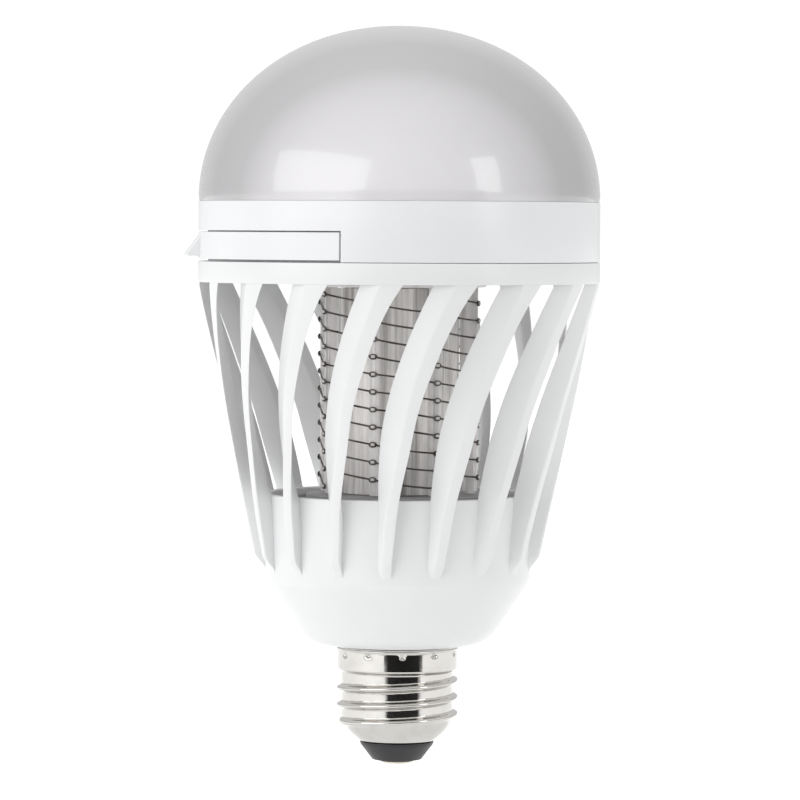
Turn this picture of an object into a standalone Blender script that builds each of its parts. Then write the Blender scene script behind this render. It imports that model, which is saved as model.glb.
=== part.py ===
"""Screw-in bug zapper lamp: dome light on top, slotted cage with a live wire grid below it.

Metres, +Z up. The origin is at the bottom of the centre contact, on the lamp's axis.
Angles about the axis are in degrees from the front (-Y), growing towards +X.
"""
import math

import bmesh
import bpy
from mathutils import Matrix, Vector

# Fits and walls
GAP = 0.0003            # clearance between pieces that touch
WALL = 0.0018           # moulded wall of the cage and the head
SHEET = 0.0006          # wall of the pressed screw shell

# Screw cap (the E26/E27 thread)
CONTACT_DROP = 0.0008   # how far the centre contact stands below the insulator
INSULATOR_HEIGHT = 0.0041
INSULATOR_TIP_RADIUS = 0.0051
SHELL_HEIGHT = 0.0205
SHELL_RADIUS = 0.0130   # plain skirt of the shell
THREAD_RADIUS = 0.0131
THREAD_PITCH = 0.00363
THREAD_DEPTH = 0.0013
THREAD_START = 0.0036   # foot of the thread above the shell's lower edge
THREAD_RUN = 0.0109
THREAD_FADE = 0.0012    # height over which the thread dies out at each end
SHELL_MOUTH_RADIUS = 0.0078
CONTACT_RIM = 0.0013    # insulator left bare round the centre contact
STEM_HOLE = 0.0016
STEM_HEIGHT = 0.0022    # how far the contact's stem stands above the insulator's seat

# Cage: neck, cone and cup, curved fins and top ring. It is moulded in one; the three
# are separate solids here, a clearance apart, so that each slot stays open.
CONE_FOOT_RADIUS = 0.0139
CONE_ROUND = 0.0029     # height of the rounded corner between the foot and the cone
CONE_CORNER_RADIUS = 0.0213
CONE_HEIGHT = 0.0140
CUP_FOOT_RADIUS = 0.0284
CUP_RIM_RADIUS = 0.0296
CUP_HEIGHT = 0.0187
SLOT_HEIGHT = 0.0453    # open height between the cup's rim and the top ring
RING_HEIGHT = 0.0044
TIP_RISE = 0.0022       # the fins' tips above the foot of the cup
TIP_SLOPE = 0.0033      # height over which a tip rises from the cup's wall
CUP_RIM_WALL = 0.0021
SEAT_WIDTH = 0.0016     # ledge inside the cup that carries the grid base
NECK_CLEARANCE = 0.0015
NECK_REACH = 0.0071     # lower end of the neck above the shell's lower edge
FIN_COUNT = 17
FIN_WIDTH = 0.0025
FIN_FOOT_RADIUS = 0.0302  # crest of a fin just above its tip
FIN_PHASE = -7.2        # angle of the first fin's tip
FIN_SWEEP = 23.2        # how far each fin turns from its tip to the ring
FIN_SLANT = 0.0045      # how far a flank leans over between the crest and the bore
FIN_FOOT_SLANT = 0.0015
FIN_FOOT_TAPER = 0.0010  # how much narrower a rib is at the crest than at the wall
FIN_FLARE = 0.0019      # extra width where a fin runs into the ring
FIN_FLARE_REACH = 0.0060

# Head: collar, dome and what they hold
HEAD_RADIUS = 0.0432
COLLAR_WALL = 0.0043
COLLAR_HEIGHT = 0.0127
SPIGOT_HEIGHT = 0.0034  # the head's lip that centres it in the cage's ring
RING_RELIEF = 0.0002    # how much thinner than WALL the ring is
FLOOR_DROP = 0.0030     # underside of the head's floor below the collar
BOSS_INSET = 0.0132
BOSS_RADIUS = 0.0026
DECK_HEIGHT = 0.0060    # underside of the deck above the collar's lower edge
DECK_THICKNESS = 0.0012
DECK_HOLE_RADIUS = 0.0060
DOME_HEIGHT = 0.0374
DOME_WALL = 0.0016
DOME_FULLNESS = 2.05    # exponent of the dome's outline, 2 is an ellipse
DOME_LIP_HEIGHT = 0.0014  # how far the dome's lip reaches down into the collar
DOME_LIP_WALL = 0.0012
SINK_WALL = 0.0018
SINK_RIM_WALL = 0.0012
LED_COUNT = 8
LED_RING_RADIUS = 0.0240
LED_SIZE = (0.0035, 0.0028, 0.0014)  # half of its height stands above the plate
PLATE_THICKNESS = 0.0012
PLATE_SCREW_RADIUS = 0.0140

# Cleaning brush stowed in the side of the collar
BRUSH_ARC = 146.8       # how far its curved handle runs round the collar
BRUSH_HEIGHT = 0.0058
BRUSH_LIP_HEIGHT = 0.0048
BRUSH_LIP_REACH = 0.0030
BRUSH_LIP_WIDTH = 0.0160
BRUSH_LIP_RISE = 0.0006  # flat underside of the lip above the handle's lower edge
BRISTLE_SEAT = 0.0048   # depth of the block behind the handle that grips the bristles
BRISTLE_WIDTH = 0.0200
BRISTLE_THICKNESS = 0.0028
BRISTLE_LENGTH = 0.0088
POCKET_WALL = 0.0010

# Live grid
GRID_RADIUS = 0.0179    # centre line of the wires
WIRE_DIAMETER = 0.0004
WIRE_SPACING = 0.00373
WIRE_COUNT = 4          # wires wound side by side, each from its own post
WIRE_TOP_DROP = 0.0012  # start of each wire below the top of its post
POST_COUNT = 8
POST_PHASE = 27.5
POST_DEPTH = 0.0020
POST_WIDTH = 0.0018
LEAD_ROOM = 0.0023      # space between the light tube and the posts
LIGHT_TUBE_WALL = 0.0010
UV_BOARD_WIDTH = 0.0140
UV_LED_COUNT = 4
UV_LED_SIZE = (0.0035, 0.0016, 0.0035)  # half of its depth stands above the board
GRID_BASE_DROP = 0.0033  # underside of the grid base below the cup's rim
HUB_OVERHANG = 0.0019
CAP_OVERHANG = 0.0009   # the disc over the posts reaches this far past the wires
CAP_THICKNESS = 0.0023
LEAD_HOLE_RADIUS = 0.0040
LEAD_DIAMETER = 0.0011
GRID_LEAD_DIAMETER = 0.0009

# Driver and screws
BOARD_DROP = 0.0123     # underside of the driver board below the cup's rim
BOARD_THICKNESS = 0.0016
BOARD_HOLE_RADIUS = 0.0022
SCREW_RADIUS = 0.0011
SCREW_HEAD_RADIUS = 0.0024
SCREW_HEAD_HEIGHT = 0.0011

# Heights, stacked from the contact upwards
INSULATOR_Z = CONTACT_DROP
SHELL_Z = INSULATOR_Z + INSULATOR_HEIGHT
CONE_Z = SHELL_Z + SHELL_HEIGHT + GAP
CUP_Z = CONE_Z + CONE_HEIGHT
TIP_Z = CUP_Z + TIP_RISE
RIM_Z = CUP_Z + CUP_HEIGHT
RING_Z = RIM_Z + SLOT_HEIGHT
SEAM_Z = RING_Z + RING_HEIGHT
HEAD_Z = SEAM_Z + GAP
DECK_Z = HEAD_Z + DECK_HEIGHT
COLLAR_TOP_Z = HEAD_Z + COLLAR_HEIGHT
DOME_Z = COLLAR_TOP_Z + GAP
SINK_Z = DECK_Z + DECK_THICKNESS + GAP
PLATE_Z = SINK_Z + SINK_WALL + GAP
PLATE_TOP_Z = PLATE_Z + PLATE_THICKNESS
THREAD_Z = SHELL_Z + THREAD_START
THREAD_TOP_Z = THREAD_Z + THREAD_RUN
BOARD_Z = RIM_Z - BOARD_DROP
GRID_BASE_Z = RIM_Z - GRID_BASE_DROP
HUB_TOP_Z = RIM_Z - GAP / 3
POST_Z = HUB_TOP_Z + GAP
FLOOR_Z = HEAD_Z - FLOOR_DROP
CAP_Z = FLOOR_Z - GAP - CAP_THICKNESS
POST_TOP_Z = CAP_Z - GAP
BRUSH_Z = HEAD_Z + GAP
BRISTLE_Z = BRUSH_Z + BRUSH_HEIGHT / 2

# Radii that follow from those above
RING_BORE = HEAD_RADIUS - WALL - RING_RELIEF
COLLAR_BORE = HEAD_RADIUS - COLLAR_WALL
CUP_BORE = CUP_RIM_RADIUS - CUP_RIM_WALL
BOARD_SEAT = CUP_BORE - SEAT_WIDTH
NECK_RADIUS = SHELL_RADIUS - SHEET - NECK_CLEARANCE
BRUSH_BACK_RADIUS = HEAD_RADIUS - WALL
BRISTLE_ROOT = BRUSH_BACK_RADIUS - BRISTLE_SEAT
POST_RADIUS = GRID_RADIUS - WIRE_DIAMETER / 2 - 4 * GAP / 3  # outer face of the posts
LIGHT_TUBE_RADIUS = POST_RADIUS - POST_DEPTH - LEAD_ROOM
GRID_LEAD_ANGLES = (POST_PHASE + 112.5, POST_PHASE + 202.5)  # between two posts
LEAD_RADIUS = POST_RADIUS - POST_DEPTH - LEAD_ROOM / 2  # leads between tube and posts


def clear_scene():
    for old in list(bpy.data.objects):
        bpy.data.objects.remove(old, do_unlink=True)


def material(name, colour, roughness, metallic=0.0, alpha=1.0):
    made = bpy.data.materials.new(name)
    made.use_nodes = True
    shader = made.node_tree.nodes["Principled BSDF"]
    shader.inputs["Base Color"].default_value = (*colour, 1.0)
    shader.inputs["Roughness"].default_value = roughness
    shader.inputs["Metallic"].default_value = metallic
    shader.inputs["Alpha"].default_value = alpha
    return made


def polar(radius, angle, height=0.0):
    """Point at an angle in degrees from the front, growing towards +X."""
    turn = math.radians(angle)
    return Vector((radius * math.sin(turn), -radius * math.cos(turn), height))


def smooth_step(value):
    value = min(1.0, max(0.0, value))
    return value * value * (3.0 - 2.0 * value)


def finish(name, bm, skin, location=(0.0, 0.0, 0.0)):
    """Turn a bmesh into a named object with outward faces and its material."""
    bmesh.ops.recalc_face_normals(bm, faces=bm.faces)
    mesh = bpy.data.meshes.new(name)
    bm.to_mesh(mesh)
    bm.free()
    mesh.materials.append(skin)
    mesh.shade_smooth()
    mesh.set_sharp_from_angle(angle=math.radians(35.0))
    made = bpy.data.objects.new(name, mesh)
    made.location = location
    bpy.context.scene.collection.objects.link(made)
    return made


def revolve(name, outline, skin, sides=34, location=(0.0, 0.0, 0.0)):
    """Turn an outline of (radius, height) points about Z; it may start and end on the axis."""
    bm = bmesh.new()
    points = [bm.verts.new((radius, 0.0, height)) for radius, height in outline]
    edges = [bm.edges.new(pair) for pair in zip(points, points[1:])]
    if outline[0][0] > 0.0:
        edges.append(bm.edges.new((points[-1], points[0])))
    bmesh.ops.spin(bm, geom=points + edges, cent=(0.0, 0.0, 0.0), axis=(0.0, 0.0, 1.0),
                   angle=math.tau, steps=sides, use_duplicate=False)
    bmesh.ops.remove_doubles(bm, verts=bm.verts, dist=1e-6)
    return finish(name, bm, skin, location)


def add_box(bm, low, high):
    low, high = Vector(low), Vector(high)
    place = Matrix.Translation((low + high) / 2) @ Matrix.Diagonal((*(high - low), 1.0))
    bmesh.ops.create_cube(bm, size=1.0, matrix=place)


def add_cylinder(bm, radius, low, high, sides=16, centre=(0.0, 0.0)):
    place = Matrix.Translation((*centre, (low + high) / 2))
    bmesh.ops.create_cone(bm, cap_ends=True, segments=sides, radius1=radius, radius2=radius,
                          depth=high - low, matrix=place)


def box(name, size, location, skin, turn=0.0):
    """A block centred on its location and turned about Z."""
    bm = bmesh.new()
    add_box(bm, -Vector(size) / 2, Vector(size) / 2)
    made = finish(name, bm, skin, location)
    made.rotation_euler.z = math.radians(turn)
    return made


def hide_cutter(cutter):
    cutter.hide_render = True
    cutter.display_type = "WIRE"
    return cutter


def combine(target, tool, operation):
    modifier = target.modifiers.new(operation.lower(), "BOOLEAN")
    modifier.operation = operation
    modifier.solver = "EXACT"
    modifier.object = hide_cutter(tool)


def drill(target, holes, low, high, skin):
    """Cut round holes, each (radius, x, y), between two heights."""
    bm = bmesh.new()
    for radius, x, y in holes:
        add_cylinder(bm, radius, low, high, centre=(x, y))
    combine(target, finish(target.name + "_holes", bm, skin), "DIFFERENCE")


def ring_vertices(bm, points):
    return [bm.verts.new(point) for point in points]


def band(bm, lower, upper):
    """Faces between two rings with the same number of vertices."""
    for here in range(len(lower)):
        after = (here + 1) % len(lower)
        bm.faces.new((lower[here], lower[after], upper[after], upper[here]))


def tube(name, points, diameter, skin, roundness=1):
    """A round lead or wire along a list of points."""
    curve = bpy.data.curves.new(name, "CURVE")
    curve.dimensions = "3D"
    curve.bevel_depth = diameter / 2
    curve.bevel_resolution = roundness
    curve.use_fill_caps = True
    spline = curve.splines.new("POLY")
    spline.points.add(len(points) - 1)
    for knot, point in zip(spline.points, points):
        knot.co = (*point, 1.0)
    curve.materials.append(skin)
    made = bpy.data.objects.new(name, curve)
    bpy.context.scene.collection.objects.link(made)
    return made


def smooth_route(knots, steps=4):
    """A smooth curve through hand-set points (Catmull-Rom)."""
    knots = [Vector(knot) for knot in knots]
    knots = [2 * knots[0] - knots[1]] + knots + [2 * knots[-1] - knots[-2]]
    route = []
    for a, b, c, d in zip(knots, knots[1:], knots[2:], knots[3:]):
        for step in range(steps):
            t = step / steps
            route.append(0.5 * (2 * b + (c - a) * t + (2 * a - 5 * b + 4 * c - d) * t ** 2
                                + (3 * b - a - 3 * c + d) * t ** 3))
    return route + [knots[-2]]


# ---- cage -------------------------------------------------------------------------------

def cup_radius(height):
    """Outside of the cup's wall, between its foot and its rim."""
    share = (height - CUP_Z) / CUP_HEIGHT
    return CUP_FOOT_RADIUS + share * (CUP_RIM_RADIUS - CUP_FOOT_RADIUS)


def fin_crest(height):
    share = (height - TIP_Z) / (RING_Z - TIP_Z)
    return FIN_FOOT_RADIUS + share * (HEAD_RADIUS - FIN_FOOT_RADIUS)


def fin_back(height):
    """Back of a fin: against the cup's wall, then free from the rim to the ring's bore."""
    if height < RIM_Z:
        return cup_radius(height) + GAP
    share = (height - RIM_Z) / SLOT_HEIGHT
    return CUP_RIM_RADIUS + GAP + share * (RING_BORE - CUP_RIM_RADIUS - GAP)


def fin_corners(height):
    """Angles of a fin's four long edges: bore left, crest left, crest right, bore right."""
    rise = (height - TIP_Z) / (RING_Z - TIP_Z)
    crest = fin_crest(height)
    back = fin_back(height)
    flare = FIN_FLARE * math.exp((height - RING_Z) / FIN_FLARE_REACH)
    width = FIN_WIDTH * (0.6 + 0.4 * smooth_step(3 * rise)) + flare
    lean = FIN_FOOT_SLANT + (FIN_SLANT - FIN_FOOT_SLANT) * smooth_step((rise - 0.13) / 0.39)
    undercut = -FIN_FOOT_TAPER + (lean + FIN_FOOT_TAPER) * smooth_step((rise - 0.07) / 0.33)
    left = FIN_PHASE + FIN_SWEEP * rise ** 1.7
    right = left + math.degrees(width / crest)
    return left - math.degrees(lean / back), left, right, right - math.degrees(undercut / back)


def circle(bm, radius, height, sides):
    return ring_vertices(bm, [polar(radius, 360.0 * n / sides, height) for n in range(sides)])


def fin_section(height):
    """Corners of a fin at a height; near the tip it thins out towards the cup."""
    back = fin_back(height)
    proud = (fin_crest(height) - back) * min(1.0, (height - TIP_Z) / TIP_SLOPE)
    crest = back + max(GAP, proud)
    bore_left, left, right, bore_right = fin_corners(height)
    spots = [(back, bore_left), (crest, left), (crest, right), (back, bore_right)]
    return [polar(radius, angle, height) for radius, angle in spots]


def build_fins(white):
    """Each fin runs up the cup's wall as a rib, then free across the slots to the ring."""
    top = RING_Z - GAP
    heights = [TIP_Z + (RIM_Z - TIP_Z) * step / 5 for step in range(5)]
    heights += [RIM_Z + (top - RIM_Z) * step / 9 for step in range(10)]
    bm = bmesh.new()
    rows = [ring_vertices(bm, fin_section(height)) for height in heights]
    for lower, upper in zip(rows, rows[1:]):
        band(bm, lower, upper)
    bm.faces.new(rows[0])
    bm.faces.new(rows[-1])
    first = finish("cage_fin_1", bm, white)
    for number in range(1, FIN_COUNT):
        fin = first.copy()
        fin.name = f"cage_fin_{number + 1}"
        fin.rotation_euler.z = math.tau * number / FIN_COUNT
        bpy.context.scene.collection.objects.link(fin)


def build_cage(white):
    revolve("cage_ring",
            [(HEAD_RADIUS, SEAM_Z), (HEAD_RADIUS, RING_Z), (RING_BORE, RING_Z),
             (RING_BORE, SEAM_Z)], white, 48)
    build_fins(white)

    # Cup, cone and neck: down the outside, then up inside past the boards' seats
    foot_bore = CUP_FOOT_RADIUS - 2 * WALL
    neck_z = SHELL_Z + NECK_REACH
    revolve("cage_cup",
            [(CUP_RIM_RADIUS, RIM_Z), (CUP_FOOT_RADIUS, CUP_Z),
             (CONE_CORNER_RADIUS, CONE_Z + CONE_ROUND),
             (CONE_CORNER_RADIUS - 0.35 * CONE_ROUND, CONE_Z + 0.55 * CONE_ROUND),
             (CONE_CORNER_RADIUS - CONE_ROUND, CONE_Z + 0.24 * CONE_ROUND),
             (CONE_FOOT_RADIUS, CONE_Z), (NECK_RADIUS, CONE_Z), (NECK_RADIUS, neck_z),
             (NECK_RADIUS - WALL, neck_z), (NECK_RADIUS - WALL, CONE_Z + WALL),
             (CONE_FOOT_RADIUS - WALL, CONE_Z + WALL),
             (CONE_CORNER_RADIUS - WALL, CONE_Z + CONE_ROUND + WALL / 2),
             (foot_bore, CUP_Z + WALL / 2), (foot_bore, BOARD_Z - GAP), (BOARD_SEAT, BOARD_Z - GAP),
             (BOARD_SEAT, GRID_BASE_Z - GAP), (CUP_BORE, GRID_BASE_Z - GAP), (CUP_BORE, RIM_Z)],
            white, 48)


# ---- screw cap --------------------------------------------------------------------------

def thread_radius(angle, height):
    """Outside of the rolled thread: round crests and roots that fade out at both ends."""
    fade = (smooth_step((height - THREAD_Z) / THREAD_FADE)
            * smooth_step((THREAD_TOP_Z - height) / THREAD_FADE))
    phase = math.tau * (height - THREAD_Z) / THREAD_PITCH - math.radians(angle)
    wave = 0.5 - 0.5 * math.cos(phase)
    above = height > THREAD_TOP_Z - THREAD_FADE
    plain = SHELL_RADIUS if above else THREAD_RADIUS - THREAD_DEPTH / 2
    return plain + fade * (THREAD_RADIUS - THREAD_DEPTH * wave - plain)


def build_screw_shell(nickel):
    bm = bmesh.new()
    sides = 30
    steps = 13
    angles = [360.0 * n / sides for n in range(sides)]
    levels = [THREAD_Z + THREAD_RUN * step / steps for step in range(steps + 1)]
    rings = [circle(bm, SHELL_MOUTH_RADIUS, SHELL_Z, sides),
             circle(bm, THREAD_RADIUS - 2 * THREAD_DEPTH, SHELL_Z + THREAD_START / 3, sides),
             circle(bm, THREAD_RADIUS - THREAD_DEPTH, SHELL_Z + 0.8 * THREAD_START, sides)]
    for level in levels:
        spots = [polar(thread_radius(angle, level), angle, level) for angle in angles]
        rings.append(ring_vertices(bm, spots))
    bore = THREAD_RADIUS - THREAD_DEPTH - SHEET
    rings += [circle(bm, SHELL_RADIUS, SHELL_Z + SHELL_HEIGHT, sides),
              circle(bm, SHELL_RADIUS - SHEET, SHELL_Z + SHELL_HEIGHT, sides),
              circle(bm, SHELL_RADIUS - SHEET, THREAD_TOP_Z + THREAD_FADE / 3, sides),
              circle(bm, bore, THREAD_TOP_Z - THREAD_FADE / 2, sides),
              circle(bm, bore, THREAD_Z, sides),
              circle(bm, THREAD_RADIUS - 2.8 * THREAD_DEPTH, SHELL_Z + THREAD_START / 2, sides),
              circle(bm, SHELL_MOUTH_RADIUS, SHELL_Z + SHEET, sides)]
    for lower, upper in zip(rings, rings[1:] + rings[:1]):
        band(bm, lower, upper)
    return finish("screw_shell", bm, nickel)


def build_screw_cap(nickel, black, brass):
    build_screw_shell(nickel)
    boss_radius = SHELL_MOUTH_RADIUS - GAP
    boss_top = SHELL_Z + 0.0016
    revolve("contact_insulator",
            [(boss_radius, boss_top), (boss_radius, SHELL_Z - GAP),
             (SHELL_MOUTH_RADIUS, SHELL_Z - GAP), (INSULATOR_TIP_RADIUS, INSULATOR_Z),
             (STEM_HOLE, INSULATOR_Z), (STEM_HOLE, boss_top)], black, 24)
    head_radius = INSULATOR_TIP_RADIUS - CONTACT_RIM
    revolve("centre_contact",
            [(0.0, SHELL_Z + STEM_HEIGHT), (STEM_HOLE - GAP, SHELL_Z + STEM_HEIGHT),
             (STEM_HOLE - GAP, INSULATOR_Z - GAP), (head_radius, INSULATOR_Z - GAP),
             (head_radius - 0.0006, 0.0), (0.0, 0.0)], brass, 20)


# ---- driver in the cup ------------------------------------------------------------------

def build_driver(board_green, ferrite, sleeve_black, film_yellow, copper, plastic_black, ceramic):
    board = revolve("driver_board",
                    [(0.0, BOARD_Z + BOARD_THICKNESS), (BOARD_SEAT - GAP, BOARD_Z + BOARD_THICKNESS),
                     (BOARD_SEAT - GAP, BOARD_Z), (0.0, BOARD_Z)], board_green)
    drill(board, [(BOARD_HOLE_RADIUS, 0.0, 0.0)], BOARD_Z - WALL, BOARD_Z + 2 * WALL, board_green)
    under = BOARD_Z - GAP
    over = BOARD_Z + BOARD_THICKNESS + GAP
    box("transformer", (0.0130, 0.0110, 0.0090), (0.0105, 0.0, under - 0.0045), ferrite)
    revolve("smoothing_capacitor",
            [(0.0, 0.0), (0.0042, 0.0), (0.0042, -0.0112), (0.0036, -0.0120), (0.0, -0.0120)],
            sleeve_black, 20, (-0.0085, 0.0060, under))
    box("film_capacitor", (0.0100, 0.0050, 0.0085), (-0.0080, -0.0075, under - 0.00425),
        film_yellow, 20.0)
    revolve("choke_coil",
            [(0.0, 0.0), (0.0034, 0.0), (0.0034, -0.0010), (0.0026, -0.0014), (0.0026, -0.0056),
             (0.0034, -0.0060), (0.0034, -0.0070), (0.0, -0.0070)], copper, 18, (0.0035, 0.0125, under))
    box("bridge_rectifier", (0.0050, 0.0046, 0.0022), (-0.0120, 0.0, over + 0.0011), plastic_black)
    box("fuse_resistor", (0.0090, 0.0030, 0.0030), (0.0110, -0.0105, over + 0.0015), ceramic, -35.0)


# ---- live grid --------------------------------------------------------------------------

def build_grid_base(grey):
    base = revolve("grid_base",
                   [(CUP_BORE - GAP, GRID_BASE_Z + WALL), (CUP_BORE - GAP, GRID_BASE_Z),
                    (LEAD_HOLE_RADIUS, GRID_BASE_Z), (LEAD_HOLE_RADIUS, HUB_TOP_Z),
                    (GRID_RADIUS + HUB_OVERHANG, HUB_TOP_Z),
                    (GRID_RADIUS + HUB_OVERHANG, GRID_BASE_Z + WALL)],
                   grey)
    hole = GRID_LEAD_DIAMETER / 2 + GAP + 0.00005
    holes = [(hole, *polar(LEAD_RADIUS, angle).xy) for angle in GRID_LEAD_ANGLES]
    drill(base, holes, GRID_BASE_Z - WALL, HUB_TOP_Z + WALL, grey)
def build_grid_frame(clear):
    """Eight posts that carry the wires, moulded with the disc that joins their tops."""
    radius = GRID_RADIUS + CAP_OVERHANG
    frame = revolve("grid_frame",
                    [(radius, CAP_Z + CAP_THICKNESS), (radius, CAP_Z),
                     (LEAD_HOLE_RADIUS, CAP_Z), (LEAD_HOLE_RADIUS, CAP_Z + CAP_THICKNESS)], clear)
    bm = bmesh.new()
    low, high = POST_Z, CAP_Z + CAP_THICKNESS / 2
    for number in range(POST_COUNT):
        angle = POST_PHASE + 360.0 * number / POST_COUNT
        place = Matrix.Translation(polar(POST_RADIUS - POST_DEPTH / 2, angle, (low + high) / 2))
        turn = Matrix.Rotation(math.radians(angle), 4, "Z")
        shape = Matrix.Diagonal((POST_WIDTH, POST_DEPTH, high - low, 1.0))
        bmesh.ops.create_cube(bm, size=1.0, matrix=place @ turn @ shape)
    combine(frame, finish("grid_posts", bm, clear), "UNION")


def build_wires(steel):
    """Each wire runs straight from post to post and steps down as it goes round."""
    pitch = 360.0 / POST_COUNT
    drop = WIRE_SPACING * WIRE_COUNT / POST_COUNT
    corner = math.degrees(POST_WIDTH / 2 / GRID_RADIUS) + 1.0
    bottom = HUB_TOP_Z + WIRE_SPACING / 3
    for number in range(WIRE_COUNT):
        height = POST_TOP_Z - WIRE_TOP_DROP
        angle = POST_PHASE - 2 * pitch - 360.0 / WIRE_COUNT * number
        route = []
        while height > bottom:
            for turn in (-corner, corner):
                level = height - drop * turn / pitch
                route.append(polar(GRID_RADIUS, angle + turn, level))
            height -= drop
            angle += pitch
        tube(f"grid_wire_{number + 1}", route, WIRE_DIAMETER, steel, 0)


def build_light(clear, board_white, led_yellow):
    tube_bore = LIGHT_TUBE_RADIUS - LIGHT_TUBE_WALL
    revolve("light_tube",
            [(LIGHT_TUBE_RADIUS, POST_TOP_Z), (LIGHT_TUBE_RADIUS, POST_Z),
             (tube_bore, POST_Z), (tube_bore, POST_TOP_Z)], clear)
    height = POST_TOP_Z - POST_Z
    board = box("uv_board", (UV_BOARD_WIDTH, PLATE_THICKNESS, height),
                (0.0, 0.0, POST_Z + height / 2), board_white)
    bm = bmesh.new()
    half = Vector(UV_LED_SIZE) / 2
    for number in range(UV_LED_COUNT):
        place = Vector((0.0, -PLATE_THICKNESS / 2, POST_Z + height * (number + 0.5) / UV_LED_COUNT))
        add_box(bm, place - half, place + half)
    combine(board, finish("uv_leds", bm, led_yellow), "UNION")


# ---- head -------------------------------------------------------------------------------

def boss_places():
    return [polar(HEAD_RADIUS - BOSS_INSET, angle).xy for angle in (90.0, 210.0, 330.0)]


def plate_screw_places():
    return [Vector((0.0, PLATE_SCREW_RADIUS)), Vector((0.0, -PLATE_SCREW_RADIUS))]


def arc_block(bm, inner, outer, middle, arc, low, high, steps):
    """Block that follows the collar: an arc of a ring, closed at both ends."""
    angles = [middle - arc / 2 + arc * step / steps for step in range(steps + 1)]
    corners = [(inner, low), (outer, low), (outer, high), (inner, high)]
    rows = [ring_vertices(bm, [polar(radius, angle, z) for radius, z in corners]) for angle in angles]
    for here, after in zip(rows, rows[1:]):
        for n in range(4):
            bm.faces.new((here[n], here[(n + 1) % 4], after[(n + 1) % 4], after[n]))
    bm.faces.new(rows[0])
    bm.faces.new(rows[-1])


def build_head(white):
    head = revolve("head_collar",
                   [(HEAD_RADIUS, COLLAR_TOP_Z), (HEAD_RADIUS, HEAD_Z), (RING_BORE - GAP, HEAD_Z),
                    (RING_BORE - GAP, HEAD_Z - SPIGOT_HEIGHT), (COLLAR_BORE, HEAD_Z - SPIGOT_HEIGHT),
                    (COLLAR_BORE, DECK_Z), (DECK_HOLE_RADIUS, DECK_Z),
                    (DECK_HOLE_RADIUS, DECK_Z + DECK_THICKNESS), (COLLAR_BORE, DECK_Z + DECK_THICKNESS),
                    (COLLAR_BORE, COLLAR_TOP_Z)], white, 48)

    # Pocket that the bristles slide into, and bosses for the floor's screws
    pocket_half = BRISTLE_WIDTH / 2 + 2 * GAP
    pocket_tall = BRISTLE_THICKNESS / 2 + 1.5 * GAP
    pocket_end = -BRISTLE_ROOT + BRISTLE_LENGTH + 3 * GAP
    bm = bmesh.new()
    add_box(bm, (-COLLAR_BORE - COLLAR_WALL / 4, -pocket_half - POCKET_WALL,
                 BRISTLE_Z - pocket_tall - POCKET_WALL),
            (pocket_end + POCKET_WALL, pocket_half + POCKET_WALL, DECK_Z + DECK_THICKNESS / 2))
    for x, y in boss_places():
        add_cylinder(bm, BOSS_RADIUS, FLOOR_Z + WALL + GAP, DECK_Z + DECK_THICKNESS / 2,
                     centre=(x, y))
    combine(head, finish("head_bosses", bm, white), "UNION")

    # Recess for the brush's curved handle, with the pocket's mouth and the screw holes
    bm = bmesh.new()
    arc = BRUSH_ARC + 2 * math.degrees(GAP / HEAD_RADIUS)
    arc_block(bm, BRUSH_BACK_RADIUS - GAP, HEAD_RADIUS + COLLAR_WALL, -90.0, arc,
              HEAD_Z - GAP / 3, BRUSH_Z + BRUSH_HEIGHT + GAP, 24)
    combine(head, finish("brush_recess", bm, white), "DIFFERENCE")
    bm = bmesh.new()
    add_box(bm, (-HEAD_RADIUS, -pocket_half, BRISTLE_Z - pocket_tall),
            (pocket_end, pocket_half, BRISTLE_Z + pocket_tall))
    combine(head, finish("brush_pocket", bm, white), "DIFFERENCE")
    hole = SCREW_RADIUS + GAP
    drill(head, [(hole, x, y) for x, y in boss_places()], FLOOR_Z, DECK_Z - 2 * GAP, white)
    screws = [(hole, x, y) for x, y in plate_screw_places()]
    drill(head, screws, DECK_Z - DECK_THICKNESS, DECK_Z + 2 * DECK_THICKNESS, white)


def build_screw(name, place, head_z, tip_z, steel):
    """Pan-head screw: a wide head above (or below) a plain shank."""
    step = math.copysign(SCREW_HEAD_HEIGHT, head_z - tip_z)
    outline = [(0.0, head_z + step), (0.8 * SCREW_HEAD_RADIUS, head_z + step),
               (SCREW_HEAD_RADIUS, head_z + step / 2), (SCREW_HEAD_RADIUS, head_z),
               (SCREW_RADIUS, head_z), (SCREW_RADIUS, tip_z), (0.0, tip_z)]
    revolve(name, outline, steel, 14, (*place, 0.0))


def build_floor(white, steel):
    floor = revolve("head_floor",
                    [(COLLAR_BORE - GAP, FLOOR_Z + WALL), (COLLAR_BORE - GAP, FLOOR_Z),
                     (LEAD_HOLE_RADIUS, FLOOR_Z), (LEAD_HOLE_RADIUS, FLOOR_Z + WALL)], white)
    hole = SCREW_RADIUS + GAP
    drill(floor, [(hole, x, y) for x, y in boss_places()], FLOOR_Z - WALL, FLOOR_Z + 2 * WALL, white)
    for number, place in enumerate(boss_places()):
        build_screw(f"floor_screw_{number + 1}", place, FLOOR_Z - GAP, DECK_Z - 5 * GAP, steel)


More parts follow.
